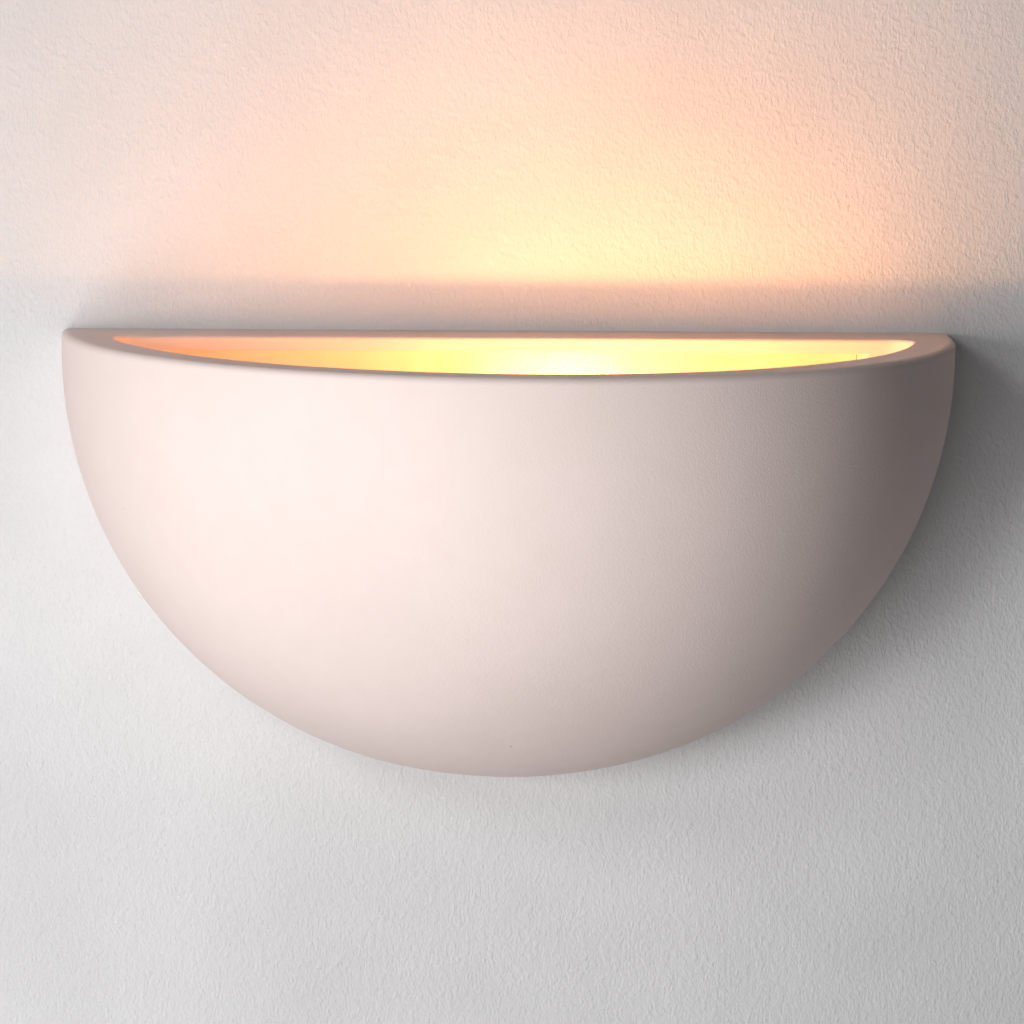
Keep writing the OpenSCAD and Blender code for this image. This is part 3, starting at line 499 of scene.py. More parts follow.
def routed_tree():
    """Geometry nodes that lay a round wire, or a coil of it, along a line of points."""
    tree, given = new_tree(
        "routed_tree", ("Route", "Geometry", None), ("Radius", "Float", MM), ("Step", "Float", MM),
        ("Sides", "Int", 16), ("Coil Turns", "Float", 0.0), ("Coil Radius", "Float", 0.0))
    line = add(tree, "GeometryNodeMeshToCurve", None, {"Mesh": given["Route"]})
    curve = add(tree, "GeometryNodeCurveSplineType", {"spline_type": "CATMULL_ROM"}, {"Curve": line})
    even = add(tree, "GeometryNodeResampleCurve", {"mode": "LENGTH"},
               {"Curve": curve, "Length": given["Step"]})
    # each point moves out to the side of the line, by an angle that grows along it
    share = add(tree, "GeometryNodeSplineParameter").outputs["Factor"]
    turns = add(tree, MATH, "MULTIPLY", (share, given["Coil Turns"]))
    turn = add(tree, MATH, "MULTIPLY", (turns, math.tau))
    side = add(tree, "GeometryNodeInputNormal").outputs["Normal"]
    ahead = add(tree, "GeometryNodeInputTangent")
    up = add(tree, VECTOR_MATH, "CROSS_PRODUCT", (ahead, side))
    parts = []
    for direction, wave in ((side, "COSINE"), (up, "SINE")):
        reach = add(tree, MATH, "MULTIPLY", (add(tree, MATH, wave, (turn,)), given["Coil Radius"]))
        parts.append(add(tree, VECTOR_MATH, "SCALE", {0: direction, "Scale": reach}))
    offset = add(tree, VECTOR_MATH, "ADD", parts)
    coiled = add(tree, "GeometryNodeSetPosition", None, {"Geometry": even, "Offset": offset})
    ring = add(tree, "GeometryNodeCurvePrimitiveCircle", {"mode": "RADIUS"},
               {"Resolution": given["Sides"], "Radius": given["Radius"]})
    marked = add(tree, "GeometryNodeStoreNamedAttribute", {"data_type": "FLOAT", "domain": "POINT"}, {
        "Geometry": ring, "Name": "around",
        "Value": add(tree, "GeometryNodeSplineParameter").outputs["Factor"]})
    tube = add(tree, "GeometryNodeCurveToMesh", None,
               {"Curve": coiled, "Profile Curve": marked, "Fill Caps": True})
    return end_tree(tree, tube, given["Material"])


def toothed_tree():
    """Geometry nodes that set twisted teeth around a ring."""
    tree, given = new_tree(
        "toothed_tree", ("Ring", "Geometry", None), ("Teeth", "Int", 12), ("Reach", "Float", 7 * MM),
        ("Twist", "Float", 0.1), ("Height", "Float", 0.4 * MM), ("Tooth Length", "Float", MM),
        ("Tooth Width", "Float", 2 * MM), ("Tooth Sheet", "Float", 0.4 * MM))
    circle = add(tree, "GeometryNodeMeshCircle", None,
                 {"Vertices": given["Teeth"], "Radius": given["Reach"]})
    lift = add(tree, "ShaderNodeCombineXYZ", None, (0.0, 0.0, given["Height"]))
    lifted = add(tree, "GeometryNodeSetPosition", None, {"Geometry": circle, "Offset": lift})
    share = add(tree, MATH, "DIVIDE", (add(tree, "GeometryNodeInputIndex"), given["Teeth"]))
    turn = add(tree, MATH, "MULTIPLY", (share, math.tau))
    size = add(tree, "ShaderNodeCombineXYZ", None,
               (given["Tooth Length"], given["Tooth Width"], given["Tooth Sheet"]))
    tooth = add(tree, "GeometryNodeMeshCube", None, {"Size": size})
    lean = add(tree, "ShaderNodeCombineXYZ", None, (given["Twist"], 0.0, turn))
    teeth = add(tree, "GeometryNodeInstanceOnPoints", None,
                {"Points": lifted, "Instance": tooth, "Rotation": lean})
    joined = tree.nodes.new("GeometryNodeJoinGeometry")
    tree.links.new(given["Ring"], joined.inputs[0])
    tree.links.new(teeth.outputs["Instances"], joined.inputs[0])
    return end_tree(tree, joined, given["Material"])


def through_tree(name, mesh, tree_maker, inputs):
    """Runs a mesh through a tree of geometry nodes, and gives the object with its plain result."""
    tree = bpy.data.node_groups.get(tree_maker.__name__) or tree_maker()
    made = link(name, mesh)
    modifier = made.modifiers.new("shape", "NODES")
    modifier.node_group = tree
    for item in tree.interface.items_tree:
        if item.in_out == "INPUT" and item.name in inputs:
            modifier[item.identifier] = inputs[item.name]
    return settle(made)


def turned(name, section, material, steps=96, start=0.0, sweep=math.tau, **thread):
    """A piece turned about Z from points of its half section: radius, height and thread share."""
    mesh = bpy.data.meshes.new(name)
    mesh.from_pydata([(p[0], 0, p[1]) for p in section], [], [])
    mark = mesh.attributes.new("thread", "FLOAT", "POINT")
    mark.data.foreach_set("value", [p[2] if len(p) > 2 else 0.0 for p in section])
    inputs = {"Steps": steps, "Start": start, "Sweep": sweep, "Material": material}
    inputs.update({"Thread " + key.capitalize(): value for key, value in thread.items()})
    made = through_tree(name, mesh, turned_tree, inputs)
    tidied(made.data)
    smooth_by_angle(made.data)
    return made


def routed(name, points, material, radius, step, sides=16, turns=0.0, coil_radius=0.0):
    """A round wire along points, or a coil around them."""
    mesh = bpy.data.meshes.new(name)
    mesh.from_pydata(points, [(i, i + 1) for i in range(len(points) - 1)], [])
    made = through_tree(name, mesh, routed_tree, {
        "Radius": radius, "Step": step, "Sides": sides, "Coil Turns": turns,
        "Coil Radius": coil_radius, "Material": material})
    smooth_by_angle(made.data, 50.0)
    return made


def stacked(name, rings, heights):
    """A closed solid through rings of points, each ring flat at its own height."""
    work = bmesh.new()
    rows = [[work.verts.new((x, y, z)) for x, y in ring] for ring, z in zip(rings, heights)]
    for low, high in zip(rows, rows[1:]):
        for i in range(len(low)):
            j = (i + 1) % len(low)
            work.faces.new((low[i], low[j], high[j], high[i]))
    work.faces.new(list(reversed(rows[0])))
    work.faces.new(rows[-1])
    bmesh.ops.recalc_face_normals(work, faces=work.faces)
    mesh = bpy.data.meshes.new(name)
    work.to_mesh(mesh)
    work.free()
    return link(name, mesh)


def block(name, low, high):
    """A plain box between two corners."""
    ring = [(low[0], low[1]), (high[0], low[1]), (high[0], high[1]), (low[0], high[1])]
    return stacked(name, [ring, ring], [low[2], high[2]])


def combine(base, operation, *others):
    """Cuts the others away from the base, or joins them to it, and removes them."""
    for other in others:
        modifier = base.modifiers.new("join", "BOOLEAN")
        modifier.operation = operation
        modifier.solver = "MANIFOLD"
        modifier.object = other
        settle(base)
        discard(other)
    return base


def softened(name, node, material, edge, segments=2):
    """A copy of a CAD node with its loose triangles merged and its edges rounded a little."""
    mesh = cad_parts[node].data.copy()
    normals = mesh.attributes.get("custom_normal")
    if normals is not None:
        mesh.attributes.remove(normals)
    mesh.materials.clear()
    mesh.materials.append(material)
    work = bmesh.new()
    work.from_mesh(mesh)
    bmesh.ops.remove_doubles(work, verts=work.verts, dist=WELD)
    bmesh.ops.dissolve_limit(work, angle_limit=math.radians(0.5), verts=work.verts, edges=work.edges)
    work.to_mesh(mesh)
    work.free()
    made = link(name, mesh)
    rounding = made.modifiers.new("edges", "BEVEL")
    rounding.width = edge
    rounding.segments = segments
    rounding.limit_method = "ANGLE"
    rounding.angle_limit = math.radians(35)
    rounding.use_clamp_overlap = True
    settle(made)
    smooth_by_angle(made.data, 40.0)
    weigh = made.modifiers.new("faces", "WEIGHTED_NORMAL")
    weigh.keep_sharp = True
    return settle(made)


def finish_piece(piece, body, slot, *nodes):
    """Hands a finished piece over: attaches it to its body and hides the CAD nodes it stands for. The
    material slot is not used.
    """
    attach(piece, body)
    if nodes:
        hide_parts(*nodes)
    return piece


def finish_copies(*rows):
    """Softens CAD nodes and hands them over: each one's name, node, finish, slot and rounding."""
    for name, node, finish, slot, edge in rows:
        finish_piece(softened(name, node, finish, edge), "mounting", slot, node)


def placed(piece, matrix):
    """Moves a piece's mesh, and leaves its object at the origin."""
    piece.data.transform(matrix)
    return piece


def dress(node, material):
    """Gives a CAD node its material."""
    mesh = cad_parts[node].data
    mesh.materials.clear()
    mesh.materials.append(material)


# ---------------------------------------------------------------- the shade

def bowl_section(s, outer):
    """Half section of the bowl's outside or inside, from its lowest point up past the rim."""
    inset = 0 if outer else s.wall
    radius = SHADE_HIGH.x - inset
    depth = RIM - SHADE_LOW.z - inset
    side = min(SHADE_HIGH.x, RIM - SHADE_LOW.z) - s.side_flat - inset
    points = [(0, RIM - depth)]
    points += arc(radius - side, RIM - depth + side, side, -90, 0, 80)
    if outer:
        r = s.outer_round
        points += arc(radius - r, RIM - r, r, 0, 90, 8) + [(0, RIM)]
    else:
        r = s.inner_round
        above = RIM + 5 * MM
        points += arc(radius + r, RIM - r, r, 180, 90, 6) + [(radius + r, above), (0, above)]
    return points


def bridge_outline(s, grown, beyond):
    """The bridge with its lugs' fillets from above, its front edge drawn back by grown."""
    inner = SHADE_HIGH.x - s.wall
    end = SHADE_HIGH.x - s.wall / 2
    centre_y = -s.bridge_depth - s.fillet
    centre_x = math.sqrt((inner - s.fillet) ** 2 - centre_y ** 2)
    aim = math.degrees(math.atan2(centre_y, centre_x))
    meet = end / (inner - s.fillet)
    right = [(end, beyond), (end, -s.bridge_depth), (centre_x * meet, centre_y * meet)]
    right += arc(centre_x, centre_y, s.fillet + grown, aim, 90, 14)
    return right + [(-x, y) for x, y in reversed(right)]


def bridge_relief(s, side):
    """What is cut from under the bridge between its lugs, half of it, from above."""
    corner = s.lug_wall
    face = s.lug_face
    front = -s.bridge_depth
    points = [(0, 3 * MM), (face, 3 * MM)]
    points += arc(face + corner, front + corner, corner, 180, 270, 10)
    points += [(face + corner, front - 9 * MM), (0, front - 9 * MM)]
    return [(x * side, y) for x, y in points]


def cast_wander(mesh, amount):
    """Lets the bowl's curved faces wander a little, as a cast and hand-fettled piece does."""
    broad, fine = 22.0, 70.0  # waves a metre
    still, fade = 4 * MM, 14 * MM  # depth from the wall that stays true, and over which it fades
    places = [vertex.co.copy() for vertex in mesh.vertices]
    normals = [vertex.normal.copy() for vertex in mesh.vertices]
    for i, (p, normal) in enumerate(zip(places, normals)):
        clear = min(max((-p.y - still) / fade, 0.0), 1.0)
        push = noise.noise(p * broad) + 0.4 * noise.noise(p * fine + Vector((7, 3, 1)))
        places[i] = p - normal * (amount * clear * (0.7 + 0.5 * push))
    mesh.vertices.foreach_set("co", [value for p in places for value in p])
    mesh.update()


def bisque_shade(s, material):
    """The half bowl: turned outside and inside, bridged at the back and slotted for its hooks."""
    bowl = turned("bisque_half_bowl", bowl_section(s, True), material, 240)
    hollow = turned("hollow", bowl_section(s, False), material, 240)
    combine(bowl, "DIFFERENCE", hollow)
    turns = [math.radians(90 * i / 6) for i in range(7)]
    grown = [0.0] + [s.inner_round * (1 - math.cos(a)) for a in turns]
    heights = [RIM - s.lug_height] + [RIM - s.inner_round * (1 - math.sin(a)) for a in turns]
    bridge = stacked("bridge", [bridge_outline(s, g, 4 * MM) for g in grown], heights)
    for side in (-1, 1):
        plan = bridge_relief(s, side)
        if side < 0:
            plan.reverse()
        under = [RIM - s.lug_height - 2 * MM, RIM - s.bridge_height]
        combine(bridge, "DIFFERENCE", stacked("relief", [plan, plan], under))
        left = side * (s.lug_face + s.lug_wall)
        right = left + side * s.slot_width
        low = (min(left, right), -s.slot_front, RIM - s.lug_height - 2 * MM)
        high = (max(left, right), -s.slot_front + s.slot_depth, RIM - s.lug_height + s.slot_height)
        combine(bridge, "DIFFERENCE", block("slot", low, high))
    combine(bowl, "UNION", bridge)
    far = SHADE_HIGH.x * 2
    combine(bowl, "DIFFERENCE", block("behind", (-far, 0, -far), (far, far, far)))
    tidied(bowl.data)
    bowl.data.materials.clear()
    bowl.data.materials.append(material)
    cast_wander(bowl.data, s.waviness)
    smooth_by_angle(bowl.data, 30.0)
    weigh = bowl.modifiers.new("faces", "WEIGHTED_NORMAL")
    weigh.keep_sharp = True
    return settle(bowl)


# ---------------------------------------------------------------- operators

class WALLLIGHT_OT_shade(bpy.types.Operator):
    """Builds the ceramic half bowl"""
    bl_idname = "walllight.shade"
    bl_label = "Shade"

    def execute(self, context):
        settings = context.scene.walllight_shade
        material = slip_cast_bisque(settings)
        finish_piece(bisque_shade(settings, material), "shade", "bisque_ceramic", "shade")
        return {"FINISHED"}


class WALLLIGHT_OT_mounting(bpy.types.Operator):
    """Finishes the wall plate, the lamp bracket, their fasteners and the cable grommet"""
    bl_idname = "walllight.mounting"
    bl_label = "Mounting"

    def execute(self, context):
        settings = context.scene.walllight_mounting
        edge = settings.edge
        zinc, brass = metal("zinc_plated_steel"), metal("turned_brass")
        plate = softened("pressed_wall_plate", "wall_plate", metallic_powder_coat(), edge / 2)
        shade = context.scene.walllight_shade
        close_up(plate.data, shade.lug_face - 0.06 * MM, RIM - shade.lug_height)
        finish_piece(plate, "mounting", "white_steel", "wall_plate")
        coat, rivet = powder_coated_steel(settings), metal("drawn_aluminium")
        finish_copies(("coated_lamp_bracket", "lamp_bracket", coat, "white_steel", edge),
                      ("set_rivets", "bracket_rivets", rivet, "rivet_aluminium", edge / 2))
        finish_piece(rubber_grommet(moulded_rubber()), "mounting", "grommet_rubber", "cable_grommet")
        finish_copies(("crimped_ring_tag", "earth_tag", metal("tinned_copper"), "tinned_copper", edge / 3))
        low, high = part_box("earth_washer")
        place = Matrix.Translation(((low.x + high.x) / 2, high.y, (low.z + high.z) / 2)) @ OUT_OF_WALL
        washer = toothed_washer("earth_toothed_washer", 2 * MM, (high.x - low.x) / 2, 8, zinc)
        finish_piece(placed(washer, place), "mounting", "zinc_steel", "earth_washer")
        low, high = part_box("nipple_washer")
        washer = toothed_washer("nipple_toothed_washer", 5 * MM, (high.z - low.z) / 2, 12, zinc)
        place = Matrix.Translation((low.x, 0, 0)) @ ALONG_LAMP
        finish_piece(placed(washer, place), "mounting", "zinc_steel", "nipple_washer")
        finish_copies(("chamfered_lock_nut", "nipple_nut", zinc, "zinc_steel", edge),
                      ("chamfered_earth_nut", "earth_nut", brass, "brass", edge))
        finish_piece(threaded_stud(settings, zinc), "mounting", "zinc_steel", "earth_stud")
        finish_piece(threaded_nipple(settings, brass), "mounting", "brass", "holder_nipple")
        return {"FINISHED"}


def close_up(mesh, reach, above):
    """Draws the plate's sides between the lugs out to them, so that no gap shows beside them."""
    between_lugs = [v for v in mesh.vertices if v.co.z > above and abs(v.co.x) < reach]
    side = max(abs(vertex.co.x) for vertex in between_lugs)
    rounding = 3 * MM
    for vertex in between_lugs:
        if abs(vertex.co.x) > side - rounding:
            vertex.co.x += math.copysign(reach - side, vertex.co.x)


def rubber_grommet(material):
    """A grommet with rounded lips and a waist that grips the plate."""
    low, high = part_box("cable_grommet")
    centre = (low + high) / 2
    lip, bore, waist = (high.x - low.x) / 2, 4 * MM, 7.95 * MM
    back, front = high.y, low.y
    lip_t = 1.95 * MM
    r = lip_t / 2
    depth = back - front
    section = arc(lip - r, depth - r, r, 90, 0, 6) + arc(lip - r, depth - lip_t + r, r, 0, -90, 6)
    section += [(waist, depth - lip_t), (waist, lip_t)]
    section += arc(lip - r, lip_t - r, r, 90, 0, 6) + arc(lip - r, r, r, 0, -90, 6)
    section += arc(bore + r, r, r, 270, 180, 5) + arc(bore + r, depth - r, r, 180, 90, 5)
    section.append(section[0])
    made = turned("rubber_grommet", section, material, 72)
    return placed(made, Matrix.Translation((centre.x, back, centre.z)) @ OUT_OF_WALL)


def toothed_washer(name, inner, outer, teeth, material):
    """A locking washer: a flat ring with twisted teeth around it, standing on z = 0."""
    thick, sheet, twist = 0.8 * MM, 0.45 * MM, math.radians(8)
    ring_r = (inner + outer) / 2 + 0.2 * MM
    back, front = (thick - sheet) / 2, (thick + sheet) / 2
    ring = turned("washer_ring", [(inner, back), (ring_r, back), (ring_r, front), (inner, front),
                                  (inner, back)], material, 64)
    mesh = ring.data
    discard(ring)
    width = math.tau * ring_r / teeth - 0.8 * MM
    made = through_tree(name, mesh, toothed_tree, {
        "Teeth": teeth, "Reach": (ring_r + outer) / 2 - 0.1 * MM, "Twist": twist, "Height": thick / 2,
        "Tooth Length": outer - ring_r, "Tooth Width": width, "Tooth Sheet": sheet,
        "Material": material})
    smooth_by_angle(made.data)
    return made


def threaded_section(radius, start, end, pitch, bore=0.0, chamfer=0.3 * MM):
    """Half section of a threaded rod or tube between two heights."""
    rows_a_turn = 8
    plain = end - start - 2 * chamfer
    count = max(rows_a_turn, round(plain / pitch * rows_a_turn))
    span = [start + chamfer + plain * i / count for i in range(count + 1)]
    section = [(bore, start), (radius - chamfer, start)]
    section += [(radius, z, 1.0) for z in span]
    section += [(radius - chamfer, end), (bore, end)]
    if bore:
        section.append(section[0])
    return section


def threaded_stud(settings, material):
    """The earth stud: a pressed head behind the plate and a threaded shank."""
    low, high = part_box("earth_stud")
    head = (high.x - low.x) / 2
    shank, head_t, plain = 1.95 * MM, 1.2 * MM, 1.7 * MM
    rod = threaded_section(shank, head_t + plain, high.y - low.y, settings.stud_pitch)
    section = [(0, 0), (head - 0.3 * MM, 0), (head, 0.3 * MM), (head, head_t), (shank, head_t)]
    section += rod[1:]
    made = turned("threaded_stud", section, material, 48, depth=0.3 * MM,
                  pitch=settings.stud_pitch, roundness=0.0)
    middle = (low + high) / 2
    return placed(made, Matrix.Translation((middle.x, high.y, middle.z)) @ OUT_OF_WALL)


def threaded_nipple(settings, material):
    """The hollow threaded nipple that carries the lampholder on its bracket."""
    low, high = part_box("holder_nipple")
    section = threaded_section((high.z - low.z) / 2, low.x, high.x, settings.thread_pitch, 3.6 * MM)
    made = turned("threaded_nipple", section, material, 64, depth=0.4 * MM,
                  pitch=settings.thread_pitch, roundness=0.0)
    return placed(made, ALONG_LAMP)


class WALLLIGHT_OT_terminals(bpy.types.Operator):
    """Finishes the terminal block and its screws"""
    bl_idname = "walllight.terminals"
    bl_label = "Terminals"

    def execute(self, context):
        settings = context.scene.walllight_mounting
        zinc, brass = metal("zinc_plated_steel"), metal("turned_brass")
        finish_copies(
            ("moulded_block", "terminal_block", moulded_polyester(settings), "white_moulding",
             settings.moulded_edge),
            ("turned_terminal_tubes", "terminal_tubes", brass, "brass", 0.15 * MM),
            ("plated_terminal_screws", "terminal_screws", zinc, "zinc_steel", 0.1 * MM),
            ("plated_block_screws", "block_screws", zinc, "zinc_steel", 0.1 * MM))
        return {"FINISHED"}


class WALLLIGHT_OT_holder(bpy.types.Operator):
    """Finishes the lampholder"""
    bl_idname = "walllight.holder"
    bl_label = "Lampholder"

    def execute(self, context):
        edge = context.scene.walllight_mounting.moulded_edge
        moulding, brass = bpy.data.materials["moulded_polyester"], metal("turned_brass")
        finish_copies(("moulded_holder_cap", "holder_cap", moulding, "white_moulding", edge),
                      ("moulded_holder_barrel", "holder_barrel", moulding, "white_moulding", edge),
                      ("pressed_insert", "holder_insert", pressed_steatite(), "steatite", edge))
        shell = screw_shell(context.scene.walllight_lamp.thread_pitch, brass)
        finish_piece(shell, "mounting", "brass", "holder_shell")
        finish_copies(("stamped_holder_contact", "holder_contact", brass, "brass", 0.1 * MM),
                      ("stamped_holder_terminals", "holder_terminals", brass, "brass", 0.1 * MM),
                      ("cheese_head_screws", "holder_terminal_screws", metal("zinc_plated_steel"),
                       "zinc_steel", 0.15 * MM))
        return {"FINISHED"}


def screw_shell(pitch, material):
    """The holder's screw shell, rolled to the same thread as the lamp's cap."""
    low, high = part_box("holder_shell")
    outer, sheet, depth = (high.z - low.z) / 2, 0.3 * MM, 0.55 * MM
    inner, collar = outer - sheet, 4 * MM
    start, end = low.x, high.x
    rows_a_turn = 12
    rows = rows_a_turn * round((end - start) / pitch)
    heights = [start + sheet + (end - start - sheet) * i / rows for i in range(rows + 1)]
    share = [min((z - start) / pitch, 1.0) for z in heights]
    section = [(collar, start), (outer - depth, start)]
    section += [(outer - depth * (1 - w), z, w) for z, w in zip(heights, share)]
    section += [(inner - depth * (1 - w), z, w) for z, w in zip(reversed(heights), reversed(share))]
    section += [(collar, start + sheet), (collar, start)]
    made = turned("rolled_screw_shell", section, material, 96, depth=depth, pitch=pitch, roundness=1.0)
    return placed(made, ALONG_LAMP)


class WALLLIGHT_OT_wires(bpy.types.Operator):
    """Lays the three internal wires along their routes"""
    bl_idname = "walllight.wires"
    bl_label = "Wires"

    def execute(self, context):
        settings = context.scene.walllight_wiring
        copper = metal("drawn_copper")
        low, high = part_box("terminal_tubes")
        middle = (low.z + high.z) / 2
        pitch = (high.z - low.z - (high.y - low.y)) / 2
        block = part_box("terminal_block")[0].x
        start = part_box("holder_terminals")[0].x
        for node, side, pole, slot, pvc in (
                ("live_wire", 1, middle + pitch, "brown_insulation",
                 extruded_pvc("brown_pvc", settings.live)),
                ("neutral_wire", -1, middle, "blue_insulation",
                 extruded_pvc("blue_pvc", settings.neutral))):
            lay_wire(node, lamp_wire_route(side, pole), start, block, slot, pvc, copper, settings)
        earth = extruded_pvc("green_yellow_pvc", settings.earth, settings.earth_stripe)
        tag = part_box("earth_tag")[1].x
        lay_wire("earth_wire", earth_route(tag), tag, block, "green_insulation", earth, copper, settings)
        return {"FINISHED"}


def lamp_wire_route(side, pole):
    """The frame's route of a lamp wire: terminal, nipple, loop behind it, terminal block."""
    bit, gap, radius, loop = 1 * MM, 1.4 * MM, 0.9 * MM, 10 * MM
    axis_y, terminal = LAMP_AXIS.y, side * 5.6 * MM
    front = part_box("holder_terminals")[0].x
    nipple = [corner.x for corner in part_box("holder_nipple")]
    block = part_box("terminal_block")[0].x
    tube_y = sum(corner.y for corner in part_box("terminal_tubes")) / 2
    points = [(front + 2 * bit, axis_y, terminal), (front - bit, axis_y, terminal),
              (nipple[1] + bit, axis_y, side * (gap + radius)), (nipple[1] - 2 * bit, axis_y, side * gap),
              (nipple[0] + 2 * bit, axis_y, side * gap)]
    # share of the loop's reach, of the way back to the block, and of the way to the pole
    bends = ((0.4, 0.01, 0), (0.8, 0.1, 0.04), (1, 0.28, 0.15), (1, 0.52, 0.3),
             (0.9, 0.76, 0.6), (0.4, 0.91, 0.85), (-0.7, 0.98, 1))
    for reach, back, across in bends:
        points.append((nipple[0] - loop * reach, axis_y + (tube_y - axis_y) * back,
                       side * gap + (pole - side * gap) * across))
    return points + [(block - loop, tube_y - bit, pole), (block - 3 * bit, tube_y, pole),
                     (block + 4 * bit, tube_y, pole)]


def earth_route(tag):
    """The frame's route of the earth wire, from its ring tag to the terminal block."""
    bit = 1 * MM
    low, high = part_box("terminal_tubes")
    tube_y, pole = (low.y + high.y) / 2, low.z + (high.y - low.y) / 2
    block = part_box("terminal_block")[0].x
    tag_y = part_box("earth_tag")[0].y + 1.7 * MM
    return [(tag - 4 * bit, tag_y, pole), (tag + bit / 2, tag_y, pole), (tag + 1.5 * bit, tag_y, pole),
            (tag + 5 * bit, tag_y - 3 * bit, pole - bit), (block - 4 * bit, tube_y - bit, pole - bit / 2),
            (block - bit, tube_y, pole), (block + 4 * bit, tube_y, pole)]


def lay_wire(node, route, start, end, slot, pvc, copper, s):
    """Lays a wire in two pieces: the conductor all the way, and insulation between its ends."""
    conductor = routed("bare_" + node, route, copper, s.core, 1 * MM, 12)
    finish_piece(conductor, "mounting", "tinned_copper", node)
    covered = [(start, *route[0][1:])] + route[1:-1] + [(end + 0.6 * MM, *route[-1][1:])]
    insulation = routed("insulated_" + node, covered, pvc, s.radius, 1 * MM, 20)
    finish_piece(insulation, "mounting", slot, node)


class WALLLIGHT_OT_lamp(bpy.types.Operator):
    """Finishes the lamp: cap, contact, glass, mount and filament"""
    bl_idname = "walllight.lamp"
    bl_label = "Lamp"

    def execute(self, context):
        settings = context.scene.walllight_lamp
        nickel = metal("drawn_nickel")
        for node, finish in (
                ("lamp_tip", metal("soldered_tip")), ("lamp_insulator", black_vitrite()),
                ("lamp_stem", clear_glass("pressed_lead_glass", 0.8, "#E9EFED")),
                ("lamp_leads", nickel), ("lamp_support", nickel)):
            dress(node, finish)
        for piece, slot, node in (
                (blown_globe(clear_glass("blown_soda_glass", 0.5, "#F7F8F6")), "lamp_glass",
                 "lamp_glass"),
                (screw_cap(settings, metal("plated_cap_brass")), "cap_brass", "lamp_cap"),
                (coiled_filament(settings, glowing_tungsten(settings)), "tungsten", "lamp_filament")):
            finish_piece(piece, "lamp", slot, node)
        return {"FINISHED"}


def globe_section(inset):
    """Half section of the globe's outside, or of its inside, from its neck to its end."""
    globe_r = (GLASS_HIGH.z - GLASS_LOW.z) / 2
    neck_r, straight = 7.6 * MM, 0.6 * MM
    middle, neck_x = GLASS_HIGH.x - globe_r, GLASS_LOW.x + straight
    away = middle - neck_x
    hollow_r = (away ** 2 + neck_r ** 2 - globe_r ** 2) / (2 * (globe_r - neck_r))
    meet = math.degrees(math.atan2(away, neck_r + hollow_r))
    points = [(neck_r - inset, GLASS_LOW.x)]
    points += arc(neck_r + hollow_r, neck_x, hollow_r + inset, 180, 180 - meet, 16)
    return points + arc(0, middle, globe_r - inset, -meet, 90, 48)[1:]


def blown_globe(material):
    """The lamp's glass, open at its neck, with a flame-rounded lip."""
    section = globe_section(0.6 * MM)[::-1] + globe_section(0)
    made = turned("blown_globe", section, material, 96)
    return placed(made, ALONG_LAMP)


def screw_cap(settings, material):
    """The lamp's cap: a thin shell rolled into a round screw thread, with a flared skirt."""
    low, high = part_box("lamp_cap")
    pitch = settings.thread_pitch
    skirt_r, crest_r, sheet = (high.z - low.z) / 2, 6.95 * MM, 0.3 * MM
    depth = 0.6 * MM
    skirt = high.x - 5 * MM
    thread_end = skirt - 0.6 * MM
    run_in, rows_a_turn = pitch * 0.6, 12
    count = round((thread_end - low.x) / pitch * rows_a_turn)
    section = [(crest_r - depth - sheet, skirt), (skirt_r - sheet, high.x)]
    section += arc(skirt_r - sheet / 2, high.x - sheet / 2, sheet / 2, 90, 0, 3)
    section.append((crest_r - depth, skirt))
    for i in range(count, -1, -1):
        z = low.x + (thread_end - low.x) * i / count
        ends = min((z - low.x) / run_in, (thread_end - z) / run_in, 1.0)
        section.append((crest_r - depth * (1 - ends), z, max(ends, 0.0)))
    section += [(crest_r - depth - 0.15 * MM, low.x), (crest_r - depth - sheet, low.x)]
    section.append(section[0])
    made = turned("rolled_screw_cap", section, material, 96, depth=depth, pitch=pitch, roundness=1.0)
    return placed(made, ALONG_LAMP)


def coiled_filament(settings, material):
    """The filament: one long coil of fine wire hung in an arc."""
    low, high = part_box("lamp_filament")
    coil = (high.z - low.z) / 2
    wire = coil * 0.28
    radius = 9.5 * MM
    centre_x = high.x - coil - radius
    ends = math.asin(min(1.0, ((high.y - low.y) / 2 - coil) / radius))
    turns = [ends * (2 * i / 24 - 1) for i in range(25)]
    points = [(centre_x + radius * math.cos(a), LAMP_AXIS.y + radius * math.sin(a), LAMP_AXIS.z)
              for a in turns]
    step = math.tau * coil * settings.coil_turns / (settings.coil_turns * 14.0 * 12.0)
    return routed("coiled_filament", points, material, wire, step, 6,
                  float(settings.coil_turns), coil - wire)


# ---------------------------------------------------------------- stage

